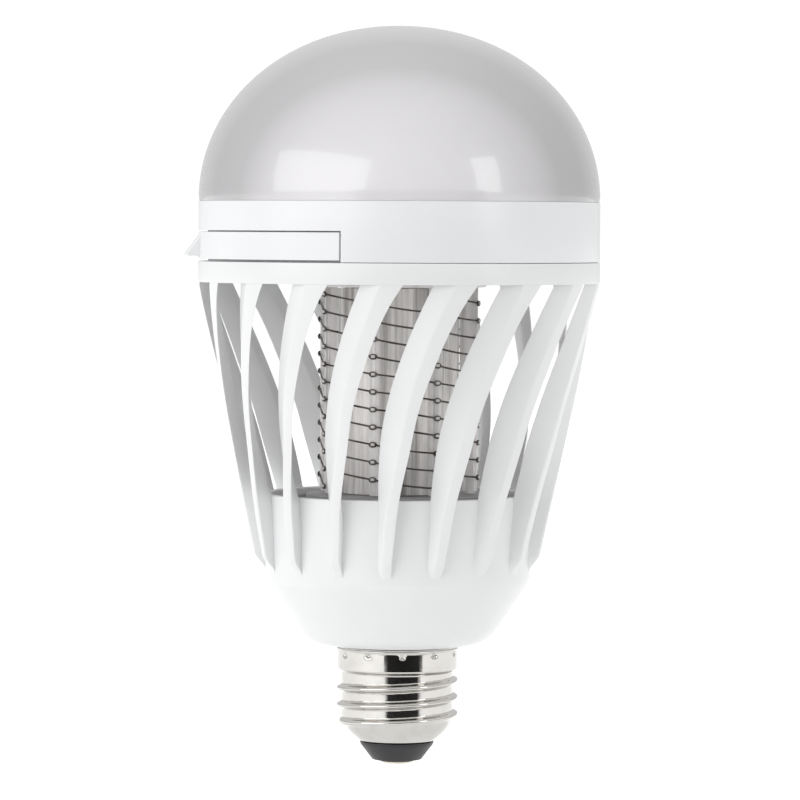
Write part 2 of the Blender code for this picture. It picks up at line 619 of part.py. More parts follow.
def build_lamp(metal, board_white, led_yellow, steel):
    rim = COLLAR_BORE - GAP
    rim_bore = rim - SINK_RIM_WALL
    rim_top = COLLAR_TOP_Z - DOME_LIP_HEIGHT - GAP / 3
    sink = revolve("heat_sink",
                   [(rim, rim_top), (rim, SINK_Z), (DECK_HOLE_RADIUS, SINK_Z),
                    (DECK_HOLE_RADIUS, SINK_Z + SINK_WALL), (rim_bore, SINK_Z + SINK_WALL),
                    (rim_bore, rim_top)], metal)
    plate = revolve("led_plate",
                    [(rim_bore - GAP, PLATE_TOP_Z), (rim_bore - GAP, PLATE_Z),
                     (LEAD_HOLE_RADIUS, PLATE_Z), (LEAD_HOLE_RADIUS, PLATE_TOP_Z)], board_white)
    holes = [(SCREW_RADIUS + GAP, x, y) for x, y in plate_screw_places()]
    drill(sink, holes, SINK_Z - SINK_WALL, SINK_Z + 2 * SINK_WALL, metal)
    drill(plate, holes, PLATE_Z - PLATE_THICKNESS, PLATE_TOP_Z + PLATE_THICKNESS, board_white)
    top = PLATE_TOP_Z + GAP
    for number, place in enumerate(plate_screw_places()):
        build_screw(f"plate_screw_{number + 1}", place, top, DECK_Z + GAP, steel)
    bm = bmesh.new()
    for number in range(LED_COUNT):
        angle = 360.0 * (number + 0.5) / LED_COUNT
        place = Matrix.Translation(polar(LED_RING_RADIUS, angle, PLATE_TOP_Z))
        turn = Matrix.Rotation(math.radians(angle), 4, "Z")
        bmesh.ops.create_cube(bm, size=1.0, matrix=place @ turn @ Matrix.Diagonal((*LED_SIZE, 1.0)))
    combine(plate, finish("led_chips", bm, led_yellow), "UNION")


def dome_radius(radius, height, rise):
    return radius * max(0.0, 1.0 - (rise / height) ** DOME_FULLNESS) ** (1.0 / DOME_FULLNESS)


def build_dome(milky):
    steps = 9
    outer, inner = [], []
    inner_height = DOME_HEIGHT - DOME_WALL
    for step in range(steps + 1):
        share = math.sin(math.pi / 2 * step / steps)
        rise = DOME_HEIGHT * share
        outer.append((dome_radius(HEAD_RADIUS, DOME_HEIGHT, rise), DOME_Z + rise))
        rise = inner_height * share
        inner.append((dome_radius(HEAD_RADIUS - DOME_WALL, inner_height, rise), DOME_Z + rise))
    outer[-1] = (0.0, DOME_Z + DOME_HEIGHT)
    inner[-1] = (0.0, DOME_Z + inner_height)
    lip = COLLAR_BORE - GAP
    lip_foot = COLLAR_TOP_Z - DOME_LIP_HEIGHT + GAP
    inner[0] = (lip - DOME_LIP_WALL, DOME_Z + WALL)
    inner.insert(1, (HEAD_RADIUS - DOME_WALL, DOME_Z + WALL))
    inner = [point for n, point in enumerate(inner) if n < 2 or point[1] > DOME_Z + 1.3 * WALL]
    skirt = [(lip, DOME_Z), (lip, lip_foot), (lip - DOME_LIP_WALL, lip_foot)]
    revolve("diffuser_dome", outer[::-1] + skirt + inner, milky, 40)


# ---- brush ------------------------------------------------------------------------------

def build_brush(white, bristle_grey):
    slide = bpy.data.objects.new("brush_slide", None)
    slide.location = (-HEAD_RADIUS, 0.0, BRISTLE_Z)
    bpy.context.scene.collection.objects.link(slide)

    bm = bmesh.new()
    arc_block(bm, BRUSH_BACK_RADIUS, HEAD_RADIUS, -90.0, BRUSH_ARC, BRUSH_Z, BRUSH_Z + BRUSH_HEIGHT, 24)
    handle = finish("brush_handle", bm, white)
    half = BRUSH_LIP_WIDTH / 2
    low = BRUSH_Z + BRUSH_LIP_RISE
    high = low + BRUSH_LIP_HEIGHT
    sunk = -BRUSH_BACK_RADIUS - WALL / 4
    bm = bmesh.new()
    section = [(sunk, low), (-HEAD_RADIUS - BRUSH_LIP_REACH, low),
               (-HEAD_RADIUS - BRUSH_LIP_REACH, low + 0.1 * BRUSH_LIP_HEIGHT),
               (-HEAD_RADIUS + WALL / 9, high), (sunk, high)]
    near = ring_vertices(bm, [(x, -half, z) for x, z in section])
    far = ring_vertices(bm, [(x, half, z) for x, z in section])
    band(bm, near, far)
    bm.faces.new(near)
    bm.faces.new(far)
    combine(handle, finish("brush_lip", bm, white), "UNION")
    bm = bmesh.new()
    add_box(bm, (sunk, -BRISTLE_WIDTH / 2, BRISTLE_Z - BRISTLE_THICKNESS / 2),
            (-BRISTLE_ROOT - GAP, BRISTLE_WIDTH / 2, BRISTLE_Z + BRISTLE_THICKNESS / 2))
    combine(handle, finish("brush_block", bm, white), "UNION")

    bristles = box("brush_bristles",
                   (BRISTLE_LENGTH, BRISTLE_WIDTH - 2 * GAP, BRISTLE_THICKNESS - 2 * GAP),
                   (-BRISTLE_ROOT + BRISTLE_LENGTH / 2, 0.0, BRISTLE_Z), bristle_grey)
    for piece in (handle, bristles):
        piece.parent = slide
        piece.matrix_parent_inverse = Matrix.Translation(-slide.location)


# ---- leads ------------------------------------------------------------------------------

def build_leads(red, black_wire, white_wire):
    over = BOARD_Z + BOARD_THICKNESS + GAP
    under = BOARD_Z - GAP
    over_plate = PLATE_TOP_Z + LEAD_DIAMETER / 2 + GAP
    for name, side, skin in (("led_lead_plus", 1, red), ("led_lead_minus", -1, black_wire)):
        x = side * 0.0014
        route = [(side * 0.0052, 0.0040, over), (side * 0.0038, 0.0034, over + 0.0030),
                 (x, 0.0026, GRID_BASE_Z), (x, 0.0027, (RIM_Z + CAP_Z) / 2), (x, 0.0026, HEAD_Z),
                 (x, 0.0026, PLATE_TOP_Z - 0.0020),
                 (side * 0.0020, 0.0028, over_plate), (side * 0.0060, 0.0036, over_plate)]
        tube(name, smooth_route(route), LEAD_DIAMETER, skin)
    for number, angle in enumerate(GRID_LEAD_ANGLES):
        foot = polar(LEAD_RADIUS + 0.0040, angle, over)
        route = [foot, polar(LEAD_RADIUS + 0.0034, angle, over + 0.0016),
                 polar(LEAD_RADIUS, angle, GRID_BASE_Z - 0.0010),
                 polar(LEAD_RADIUS, angle, HUB_TOP_Z + 0.0020)]
        tube(f"grid_lead_{number + 1}", smooth_route(route), GRID_LEAD_DIAMETER, white_wire)
    route = [(0.0, 0.0, over + 0.0006), (0.0, 0.0, under - 0.003), (0.0003, -0.0006, CONE_Z + 0.012),
             (0.0008, -0.0004, CONE_Z), (0.0, 0.0, SHELL_Z + 0.0060),
             (0.0, 0.0, SHELL_Z + STEM_HEIGHT + GAP)]
    tube("contact_lead", smooth_route(route), LEAD_DIAMETER, black_wire)
    wall = THREAD_RADIUS - THREAD_DEPTH - SHEET - GAP
    route = [(-0.0020, -0.0150, under), (-0.0024, -0.0146, under - 0.003),
             (-0.0040, -0.0090, CONE_Z + 0.008), (-0.0048, -0.0040, CONE_Z + 0.002),
             (-0.0052, -0.0034, CONE_Z - 0.006), (-0.0062, -0.0026, SHELL_Z + 0.0068),
             (-wall + 0.0014, -0.0010, SHELL_Z + 0.0050), (-wall + 0.0006, 0.0, SHELL_Z + 0.0044)]
    tube("shell_lead", smooth_route(route), LEAD_DIAMETER, white_wire)


def main():
    clear_scene()
    white = material("white_plastic", (0.86, 0.86, 0.87), 0.35)
    milky = material("milky_plastic", (0.88, 0.88, 0.89), 0.25)
    nickel = material("nickel", (0.75, 0.72, 0.66), 0.18, 1.0)
    black = material("black_glass", (0.02, 0.02, 0.02), 0.25)
    brass = material("brass", (0.78, 0.62, 0.32), 0.30, 1.0)
    steel = material("steel_wire", (0.30, 0.28, 0.26), 0.35, 1.0)
    screw_steel = material("screw_steel", (0.60, 0.60, 0.60), 0.30, 1.0)
    clear = material("clear_plastic", (0.85, 0.87, 0.88), 0.08, 0.0, 0.35)
    grey = material("grey_plastic", (0.32, 0.32, 0.33), 0.45)
    metal = material("aluminium", (0.80, 0.80, 0.81), 0.35, 1.0)
    board_white = material("white_board", (0.85, 0.86, 0.84), 0.40)
    board_green = material("green_board", (0.05, 0.25, 0.12), 0.45)
    led_yellow = material("led_phosphor", (0.90, 0.78, 0.30), 0.40)
    bristle_grey = material("bristle", (0.75, 0.75, 0.76), 0.60)
    ferrite = material("ferrite", (0.08, 0.08, 0.09), 0.60)
    film_yellow = material("film_case", (0.75, 0.55, 0.10), 0.45)
    copper = material("copper_wire", (0.72, 0.35, 0.18), 0.35, 1.0)
    sleeve_black = material("capacitor_sleeve", (0.06, 0.07, 0.10), 0.35)
    ceramic = material("resistor_case", (0.70, 0.68, 0.62), 0.60)
    red = material("red_insulation", (0.55, 0.04, 0.03), 0.45)
    white_wire = material("white_insulation", (0.80, 0.80, 0.78), 0.45)
    black_wire = material("black_insulation", (0.03, 0.03, 0.03), 0.45)

    build_cage(white)
    build_screw_cap(nickel, black, brass)
    build_driver(board_green, ferrite, sleeve_black, film_yellow, copper, black, ceramic)
    build_grid_base(grey)
    build_grid_frame(clear)
    build_wires(steel)
    build_light(clear, board_white, led_yellow)
    build_head(white)
    build_floor(white, screw_steel)
    build_lamp(metal, board_white, led_yellow, screw_steel)
    build_dome(milky)
    build_brush(white, bristle_grey)
    build_leads(red, black_wire, white_wire)


main()
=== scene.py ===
"""Screw-in bug zapper lamp: detailed pieces, finishes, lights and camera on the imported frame.

Metres, +Z up. Angles about the lamp's axis are in degrees from the front (-Y) towards +X.
"""
import math

import bmesh
import bpy
from mathutils import Matrix, Vector


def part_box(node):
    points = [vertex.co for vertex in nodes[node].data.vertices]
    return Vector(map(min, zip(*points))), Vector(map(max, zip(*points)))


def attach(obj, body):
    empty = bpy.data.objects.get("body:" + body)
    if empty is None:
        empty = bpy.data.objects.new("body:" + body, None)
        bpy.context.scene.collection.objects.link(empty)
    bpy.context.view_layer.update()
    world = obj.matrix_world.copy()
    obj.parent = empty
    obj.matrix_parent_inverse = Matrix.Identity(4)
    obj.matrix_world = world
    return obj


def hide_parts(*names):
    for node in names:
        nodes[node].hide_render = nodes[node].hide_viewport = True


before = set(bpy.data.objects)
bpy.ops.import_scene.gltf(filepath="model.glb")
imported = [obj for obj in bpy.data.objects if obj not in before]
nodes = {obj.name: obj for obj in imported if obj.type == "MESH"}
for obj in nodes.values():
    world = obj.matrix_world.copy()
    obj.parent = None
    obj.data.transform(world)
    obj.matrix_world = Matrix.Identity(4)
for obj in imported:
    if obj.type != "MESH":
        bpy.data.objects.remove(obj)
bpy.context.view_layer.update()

# Heights and radii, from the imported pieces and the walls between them
GAP = 0.0003            # clearance between pieces that touch
SEAM = 0.00009          # how far the ring and the collar each reach into the clearance between them
RING_WALL = 0.0020
COLLAR_WALL = 0.0043
DOME_WALL = 0.0016
PANEL_WALL = 0.0018     # thickness of the brush's curved handle
DISC_THICKNESS = 0.0023
ring_low, ring_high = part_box("cage_ring")
cup_low, cup_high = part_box("cage_cup")
collar_low, collar_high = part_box("head_collar")
dome_low, dome_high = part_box("diffuser_dome")
shell_low, shell_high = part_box("screw_shell")
insulator_low, insulator_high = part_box("contact_insulator")
base_low, base_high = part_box("grid_base")
posts_low, posts_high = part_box("grid_frame")
light_low, light_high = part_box("light_tube")
bristles_low, bristles_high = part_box("brush_bristles")
contact_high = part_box("centre_contact")[1]
handle_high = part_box("brush_handle")[1]

HEAD_RADIUS = ring_high.x
RING_Z, SEAM_Z = ring_low.z, ring_high.z
HEAD_Z = SEAM_Z + GAP
COLLAR_TOP_Z = collar_high.z
RIM_Z = cup_high.z
CUP_HEIGHT = 0.0187
CUP_Z = RIM_Z - CUP_HEIGHT
CONE_Z = shell_high.z + GAP
TIP_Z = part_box("cage_fin_1")[0].z
RING_BORE = HEAD_RADIUS - RING_WALL
COLLAR_BORE = HEAD_RADIUS - COLLAR_WALL
BRUSH_BACK = HEAD_RADIUS - PANEL_WALL
BRISTLE_Z = (bristles_low.z + bristles_high.z) / 2
CUP_FOOT_RADIUS = 0.0284
CUP_RIM_RADIUS = 0.0296
CUP_BORE = 0.0275
SHELL_Z = shell_low.z

FIN_COUNT = 17
POST_COUNT = 8
POST_PHASE = 27.5       # angle of the first post
POST_PITCH = 360.0 / POST_COUNT
WIRE_COUNT = 4
WIRE_RADIUS = 0.0179    # from the lamp's axis to the wires
WIRE_THICKNESS = 0.00042
WIRE_SPACING = 0.00373
WIRE_TOP_DROP = 0.0012  # the highest wire below the disc
WIRE_DROP = WIRE_SPACING * WIRE_COUNT / POST_COUNT  # how far a wire sinks from post to post
BRUSH_ARC = 146.8       # angle that the brush's handle covers


# ---- modelling by hand ------------------------------------------------------------------

def polar(radius, angle, height=0.0):
    """Point at an angle in degrees from the front."""
    turn = math.radians(angle)
    return Vector((radius * math.sin(turn), -radius * math.cos(turn), height))


def smooth_step(value):
    value = min(1.0, max(0.0, value))
    return value * value * (3.0 - 2.0 * value)


def only(*pieces):
    """Select these pieces and nothing else."""
    if bpy.context.object and bpy.context.object.mode != "OBJECT":
        bpy.ops.object.mode_set(mode="OBJECT")
    bpy.ops.object.select_all(action="DESELECT")
    for piece in pieces:
        piece.select_set(True)
    bpy.context.view_layer.objects.active = pieces[0]


def begin(name):
    """Name the primitive that was just added and open it for editing."""
    piece = bpy.context.active_object
    piece.name = piece.data.name = name
    bpy.ops.object.mode_set(mode="EDIT")
    return piece


def close_up(piece, angle=35.0):
    """Leave edit mode, put the piece's place into its mesh and shade it."""
    bpy.ops.mesh.select_all(action="SELECT")
    bpy.ops.mesh.normals_make_consistent(inside=False)
    bpy.ops.object.mode_set(mode="OBJECT")
    only(piece)
    bpy.ops.object.transform_apply(location=True, rotation=True, scale=True)
    bpy.ops.object.shade_smooth_by_angle(angle=math.radians(angle))
    return piece


def corner(before, here, after, radius, most, steps):
    """Points round a corner, which takes up no more than a share of the sides beside it."""
    start = here + (before - here).normalized() * min(radius, most * (before - here).length)
    end = here + (after - here).normalized() * min(radius, most * (after - here).length)
    shares = [step / steps for step in range(steps + 1)]
    return [(1 - t) ** 2 * start + 2 * t * (1 - t) * here + t ** 2 * end for t in shares]


def rounded(points, steps=4):
    """Round an outline's corners; a point may carry its own radius as a third value."""
    made = []
    for n, point in enumerate(points):
        if len(point) < 3 or n in (0, len(points) - 1):
            made.append(point[:2])
            continue
        before, here, after = (Vector(p[:2]) for p in (points[n - 1], point, points[n + 1]))
        made += [tuple(place) for place in corner(before, here, after, point[2], 0.49, steps)]
    return made


def turned(name, outline, sides=160, steps=4, angle=35.0):
    """Draw a round piece up ring by ring, from the outline's first (radius, height) to its last."""
    axis = 0.00002  # rings inside this radius close to a point at the end
    outline = [(max(radius, axis), height) for radius, height in rounded(outline, steps)]
    bpy.ops.object.select_all(action="DESELECT")
    radius, height = outline[0]
    bpy.ops.mesh.primitive_circle_add(vertices=sides, radius=radius, fill_type="NOTHING",
                                      location=(0.0, 0.0, 0.0))
    piece = begin(name)
    bpy.ops.transform.translate(value=(0.0, 0.0, height))
    for (radius, height), (wider, higher) in zip(outline, outline[1:]):
        rise = (0.0, 0.0, higher - height)
        bpy.ops.mesh.extrude_region_move(TRANSFORM_OT_translate={"value": rise})
        share = wider / radius
        bpy.ops.transform.resize(value=(share, share, 1.0), center_override=(0.0, 0.0, 0.0))
    for vert in bmesh.from_edit_mesh(piece.data).verts:
        if vert.co.xy.length < 2 * axis:
            vert.co.xy = (0.0, 0.0)
    bmesh.update_edit_mesh(piece.data)
    bpy.ops.mesh.select_all(action="SELECT")
    bpy.ops.mesh.remove_doubles(threshold=0.000001)
    bpy.ops.mesh.delete_loose(use_verts=True, use_edges=True, use_faces=False)
    return close_up(piece, angle)


def drawn_out(name, sections, angle=35.0):
    """Extrude a face through a row of sections, each with the same number of corners."""
    count = len(sections[0])
    bpy.ops.object.select_all(action="DESELECT")
    bpy.ops.mesh.primitive_circle_add(vertices=count, radius=0.001, fill_type="NGON",
                                      location=(0.0, 0.0, 0.0))
    piece = begin(name)
    bm = bmesh.from_edit_mesh(piece.data)
    for vert, place in zip(bm.verts, sections[0]):
        vert.co = place
    last = sections[0]
    for section in sections[1:]:
        bpy.ops.mesh.extrude_region_move()
        bm = bmesh.from_edit_mesh(piece.data)
        for vert in [v for v in bm.verts if v.select]:
            nearest = min(range(count), key=lambda n: (vert.co - last[n]).length_squared)
            vert.co = section[nearest]
        last = section
    bmesh.update_edit_mesh(piece.data)
    return close_up(piece, angle)


def rounded_section(corners, radius, steps=3):
    """A four-cornered section with rounded corners."""
    made = []
    for n, here in enumerate(corners):
        after = corners[(n + 1) % len(corners)]
        made += corner(corners[n - 1], here, after, radius, 0.45, steps)
    return made


def block(name, low, high, edge=0.0003, segments=3):
    """A block between two corners with its edges rounded over."""
    low, high = Vector(low), Vector(high)
    bpy.ops.object.select_all(action="DESELECT")
    bpy.ops.mesh.primitive_cube_add(size=1.0, location=(low + high) / 2, scale=high - low)
    only(bpy.context.active_object)
    bpy.ops.object.transform_apply(location=True, rotation=True, scale=True)
    piece = begin(name)
    bpy.ops.mesh.select_all(action="SELECT")
    if edge:
        bpy.ops.mesh.bevel(offset=edge, segments=segments, affect="EDGES")
    return close_up(piece)


def modified(piece, kind, **settings):
    """Add a modifier and apply it."""
    only(piece)
    modifier = piece.modifiers.new(kind.lower(), kind)
    for key, value in settings.items():
        setattr(modifier, key, value)
    bpy.ops.object.modifier_apply(modifier=modifier.name)
    return piece


def cut(piece, tool, operation="DIFFERENCE"):
    """Cut with another piece, or add it, and throw the tool away."""
    modified(piece, "BOOLEAN", object=tool, operation=operation, solver="EXACT")
    bpy.data.objects.remove(tool, do_unlink=True)
    return piece


def bevelled(piece, width, segments=2, angle=40.0):
    return modified(piece, "BEVEL", width=width, segments=segments, limit_method="ANGLE",
                    angle_limit=math.radians(angle), harden_normals=False, miter_outer="MITER_ARC",
                    use_clamp_overlap=True)


def joined(name, pieces):
    only(*pieces)
    if len(pieces) > 1:
        bpy.ops.object.join()
    piece = bpy.context.active_object
    piece.name = piece.data.name = name
    return piece


def copied(piece, angle=0.0, move=(0.0, 0.0, 0.0)):
    """A copy with its own mesh, turned about the lamp's axis and moved."""
    only(piece)
    bpy.ops.object.duplicate()
    copy = bpy.context.active_object
    copy.data.transform(Matrix.Rotation(math.radians(angle), 4, "Z") @ Matrix.Translation(move))
    return copy


def weights(piece, name, rule):
    """A vertex group whose weight at each point follows a rule."""
    group = piece.vertex_groups.new(name=name)
    for vert in piece.data.vertices:
        amount = rule(vert.co)
        if amount > 0.0:
            group.add([vert.index], amount, "REPLACE")
    return group.name


def settle(piece, body, slot, finish, *replaced):
    """Give a finished piece its material, its body and the nodes that it stands for."""
    piece.data.materials.clear()
    piece.data.materials.append(finish)
    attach(piece, body)
    if replaced:
        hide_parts(*replaced)
    return piece


# ---- finishes ---------------------------------------------------------------------------

class Signal:
    """A shader socket that takes part in sums."""

    def __init__(self, finish, socket):
        self.finish, self.socket = finish, socket

    def sum(self, operation, *values):
        return self.finish.node("Math", {"operation": operation}, dict(enumerate(values)))

    def __add__(self, other):
        return self.sum("ADD", self, other)

    def __mul__(self, other):
        return self.sum("MULTIPLY", self, other)

    def __sub__(self, other):
        return self.sum("SUBTRACT", self, other)

    def __rsub__(self, other):
        return self.sum("SUBTRACT", other, self)

    __radd__ = __add__
    __rmul__ = __mul__


class Finish:
    """A material being made: nodes on one side, the shader's sockets on the other."""

    def __init__(self, name, **sockets):
        self.material = bpy.data.materials.new(name)
        self.material.use_nodes = True
        self.tree = self.material.node_tree
        self.shader = self.tree.nodes["Principled BSDF"]
        self.place = self.node("TexCoord", out="Object")
        self.set(**sockets)

    def feed(self, socket, value):
        if isinstance(value, Signal):
            self.tree.links.new(value.socket, socket)
        elif socket.type == "RGBA" and len(value) == 3:
            socket.default_value = (*value, 1.0)
        else:
            socket.default_value = value

    def node(self, kind, settings=None, sockets=None, out=0):
        """Any node: its settings first, then its sockets' values or links."""
        made = self.tree.nodes.new("ShaderNode" + kind)
        for key, value in (settings or {}).items():
            if key == "stops":
                ramp = made.color_ramp.elements
                while len(ramp) < len(value):
                    ramp.new(0.5)
                for element, (place, level) in zip(ramp, value):
                    element.position = place
                    element.color = (level, level, level, 1.0)
            else:
                setattr(made, key, value)
        for key, value in (sockets or {}).items():
            self.feed(made.inputs[key], value)
        return Signal(self, made.outputs[out])

    def set(self, shader=None, **sockets):
        """Put values or links on a shader's sockets, and give back its output."""
        shader = shader or self.shader
        for key, value in sockets.items():
            self.feed(shader.inputs[key.replace("_", " ").title().replace("Ior", "IOR")], value)
        return Signal(self, shader.outputs[0])

    def stretched(self, x, y, z):
        return self.node("Mapping", {}, {"Vector": self.place, "Scale": (x, y, z)})

    def noise(self, scale, detail=3.0, roughness=0.55, place=None):
        return self.node("TexNoise", {}, {"Vector": place or self.place, "Scale": scale,
                                          "Detail": detail, "Roughness": roughness})

    def ramp(self, value, *stops):
        return self.node("ValToRGB", {"stops": stops}, {"Fac": value})

    def blend(self, factor, first, second):
        """Mix of two colours."""
        return self.node("Mix", {"data_type": "RGBA"}, {0: factor, 6: first, 7: second}, out=2)

    def bump(self, height, strength, distance=0.001, under=None):
        sockets = {"Height": height, "Strength": strength, "Distance": distance}
        if under is not None:
            sockets["Normal"] = under
        return self.node("Bump", {}, sockets)


def moulded_white(name, light, shade, gloss=0.30, grain=0.05):
    """Moulded ABS: nearly even colour, a trace of flow, fine grain and a few hairline scuffs."""
    finish = Finish(name, specular_ior_level=0.5)
    cloud = finish.noise(55.0, 4.0)
    mottle = finish.noise(900.0, 2.0)
    scuff = finish.ramp(finish.noise(90.0, 6.0, 0.7, finish.stretched(1.0, 1.0, 7.0)),
                        (0.60, 0.0), (0.80, 1.0))
    tone = finish.ramp(cloud, (0.35, 0.0), (0.68, 1.0))
    colour = finish.blend(tone * 0.9 + mottle * 0.1, light, shade)
    finish.set(base_color=finish.blend(scuff * 0.10, colour, [0.90 * c for c in shade]),
               roughness=gloss + mottle * 0.01 + scuff * 0.02 - tone * 0.02)
    flow = finish.bump(cloud, 0.04, 0.0004)
    finish.set(normal=finish.bump(finish.noise(3800.0, 2.0), grain, 0.00005, flow))
    return finish.material


def milky_dome():
    """Milky polycarbonate, polished outside; towards its edges a near-black glossy layer is mixed in, a
    painted shade that darkens the dome's sides.
    """
    gloss = {"coat_weight": 0.85, "coat_roughness": 0.05, "coat_ior": 1.52}
    finish = Finish("milky_polycarbonate", specular_ior_level=0.7, **gloss)
    cloud = finish.noise(38.0, 3.0)
    speck = finish.noise(1400.0, 2.0)
    tone = finish.ramp(cloud, (0.3, 0.0), (0.7, 1.0))
    wave = finish.bump(cloud, 0.02, 0.0004)
    finish.set(base_color=finish.blend(tone * 0.9 + speck * 0.1, (0.775, 0.760, 0.777),
                                       (0.747, 0.733, 0.751)),
               roughness=0.24 + speck * 0.01, normal=wave)
    milk = finish.set()
    # Near-black glossy shader: painted shade, mixed in more the further the surface turns away from
    # view
    dark_edge_shader = finish.tree.nodes.new("ShaderNodeBsdfPrincipled")
    painted_edge_shade = finish.set(dark_edge_shader, base_color=(0.05, 0.048, 0.05), roughness=0.24,
                      specular_ior_level=0.7, normal=wave, **gloss)
    # How much painted shade each facing gets, more towards the dome's outline
    facing = finish.node("LayerWeight", {}, {"Blend": 0.5}, out="Facing")
    edge_shade_share = finish.ramp(facing, (0.0, 0.04), (0.05, 0.07), (0.10, 0.11), (0.20, 0.19),
                        (0.28, 0.27), (0.40, 0.45), (0.60, 0.53), (1.0, 0.40))
    both = finish.node("MixShader", {}, {0: edge_shade_share, 1: milk, 2: painted_edge_shade})
    finish.tree.links.new(both.socket, finish.tree.nodes["Material Output"].inputs["Surface"])
    return finish.material


def plated(name, light, dark, gloss):
    """Bright nickel or tin over a rolled shell, with drawing marks round it."""
    finish = Finish(name, metallic=1.0)
    lines = finish.noise(420.0, 4.0, 0.6, finish.stretched(0.25, 0.25, 6.0))
    cloud = finish.noise(240.0, 3.0)
    smudge = finish.ramp(cloud, (0.42, 0.0), (0.72, 1.0))
    finish.set(base_color=finish.blend(smudge * 0.7 + lines * 0.3, light, dark),
               roughness=gloss + smudge * 0.05 + lines * 0.03,
               normal=finish.bump(lines, 0.02, 0.00004, finish.bump(cloud, 0.03, 0.0002)))
    return finish.material


def black_glass():
    finish = Finish("black_glass", specular_ior_level=0.5)
    cloud = finish.noise(300.0, 3.0)
    finish.set(base_color=finish.blend(cloud, (0.011, 0.011, 0.013), (0.022, 0.022, 0.025)),
               roughness=0.30 + cloud * 0.2, normal=finish.bump(cloud, 0.2, 0.0002))
    return finish.material


def drawn_wire():
    """Dull stainless wire, browned where it arcs."""
    finish = Finish("drawn_wire", metallic=0.85)
    scorch = finish.ramp(finish.noise(330.0, 3.0), (0.45, 0.0), (0.65, 1.0))
    finish.set(base_color=finish.blend(scorch, (0.135, 0.125, 0.118), (0.070, 0.056, 0.046)),
               roughness=0.38 + scorch * 0.2)
    return finish.material


def clear_moulding(name, light, dark, see_through, glow, gloss=0.16):
    """Clear plastic full of vertical flutes, with painted reflections of the flutes as light and dark
    stripes in its colour, and a faint painted glow.
    """
    finish = Finish(name, specular_ior_level=0.9)
    painted_streaks = finish.noise(640.0, 3.0, 0.6, finish.stretched(1.0, 1.0, 0.035))
    broad = finish.noise(150.0, 2.0, 0.5, finish.stretched(1.0, 1.0, 0.10))
    smear = finish.noise(210.0, 4.0)
    tone = finish.ramp(painted_streaks * 0.55 + broad * 0.45, (0.41, 0.0), (0.59, 1.0))
    # Painted reflections: the stripe tone runs the colour from dark to light; the emission is a painted
    # glow
    finish.set(base_color=finish.blend(tone * 0.85 + smear * 0.15, dark, light),
               roughness=gloss + smear * 0.10, alpha=1.0 - tone * see_through,
               emission_color=finish.blend(tone, dark, light), emission_strength=glow,
               normal=finish.bump(painted_streaks, 0.35, 0.0003))
    return finish.material


def plain_finish(name, colour, roughness, metallic=0.0, scale=400.0, spread=0.8):
    """A finish for the pieces inside: two close tones, uneven gloss and a fine surface."""
    finish = Finish(name, metallic=metallic)
    cloud = finish.noise(scale, 4.0)
    fine = finish.noise(scale * 6.0, 2.0)
    finish.set(base_color=finish.blend(cloud, colour, [spread * c for c in colour]),
               roughness=roughness + fine * 0.1, normal=finish.bump(fine, 0.12, 0.0001))
    return finish.material


# ---- cage -------------------------------------------------------------------------------

FIN_WIDTH = 0.0025
FIN_FOOT_RADIUS = 0.0302  # crest of a fin just above its tip
FIN_PHASE = -7.2        # angle of the first fin's tip
FIN_SWEEP = 23.2        # how far each fin turns from its tip to the ring
FIN_SLANT = 0.0045      # how far a flank leans over between the crest and the bore
FIN_FOOT_SLANT = 0.0015
FIN_FOOT_UNDERCUT = 0.00045
FIN_SPREAD = 0.00065    # extra width over the upper half
FIN_BOW = 1.1           # how far the fins bow out to the side below their middle
FIN_FLARE = 0.0019      # extra width where a fin runs into the ring
FIN_FLARE_REACH = 0.0060
FIN_EDGE = 0.00042      # rounding of a fin's edges
TIP_SLOPE = 0.0036      # height over which a tip rises from the cup's wall
TIP_SECTIONS = 8
FIN_SECTIONS = 40


def cup_radius(height):
    share = (height - CUP_Z) / (RIM_Z - CUP_Z)
    return CUP_FOOT_RADIUS + share * (CUP_RIM_RADIUS - CUP_FOOT_RADIUS)


def fin_section(height):
    """Corners of a fin at a height: bore left, crest left, crest right, bore right."""
    rise = (height - TIP_Z) / (RING_Z - TIP_Z)
    crest = FIN_FOOT_RADIUS + rise * (HEAD_RADIUS - FIN_FOOT_RADIUS)
    if height < RIM_Z:
        back = cup_radius(height)
        sunk = back - 0.0006 * smooth_step((RIM_Z - height) / 0.0012)
    else:
        back = CUP_RIM_RADIUS + (height - RIM_Z) / (RING_Z - RIM_Z) * (RING_BORE - CUP_RIM_RADIUS)
        sunk = back
    crest = back + (crest - back) * smooth_step(0.12 + 0.88 * (height - TIP_Z) / TIP_SLOPE)
    crest = min(crest, HEAD_RADIUS - 0.00004)
    flare = FIN_FLARE * math.exp((min(height, RING_Z) - RING_Z) / FIN_FLARE_REACH)
    steady = max(rise, 0.0)
    width = FIN_WIDTH * (0.8 + 0.2 * smooth_step(6 * steady))
    width = width + FIN_SPREAD * smooth_step(4 * rise - 2) + flare
    lean = FIN_FOOT_SLANT + (FIN_SLANT - FIN_FOOT_SLANT) * smooth_step((rise - 0.13) / 0.39)
    undercut = FIN_FOOT_UNDERCUT + (lean - FIN_FOOT_UNDERCUT) * smooth_step((rise - 0.07) / 0.33)
    bow = FIN_BOW * math.exp(-((rise - 0.43) / 0.15) ** 2)
    left = FIN_PHASE + FIN_SWEEP * steady ** 1.7 + 1.0 - steady + bow
    right = left + math.degrees(width / crest)
    spots = [(sunk, left - math.degrees(lean / back)), (crest, left), (crest, right),
             (sunk, right - math.degrees(undercut / back))]
    return [polar(radius, angle, height) for radius, angle in spots]


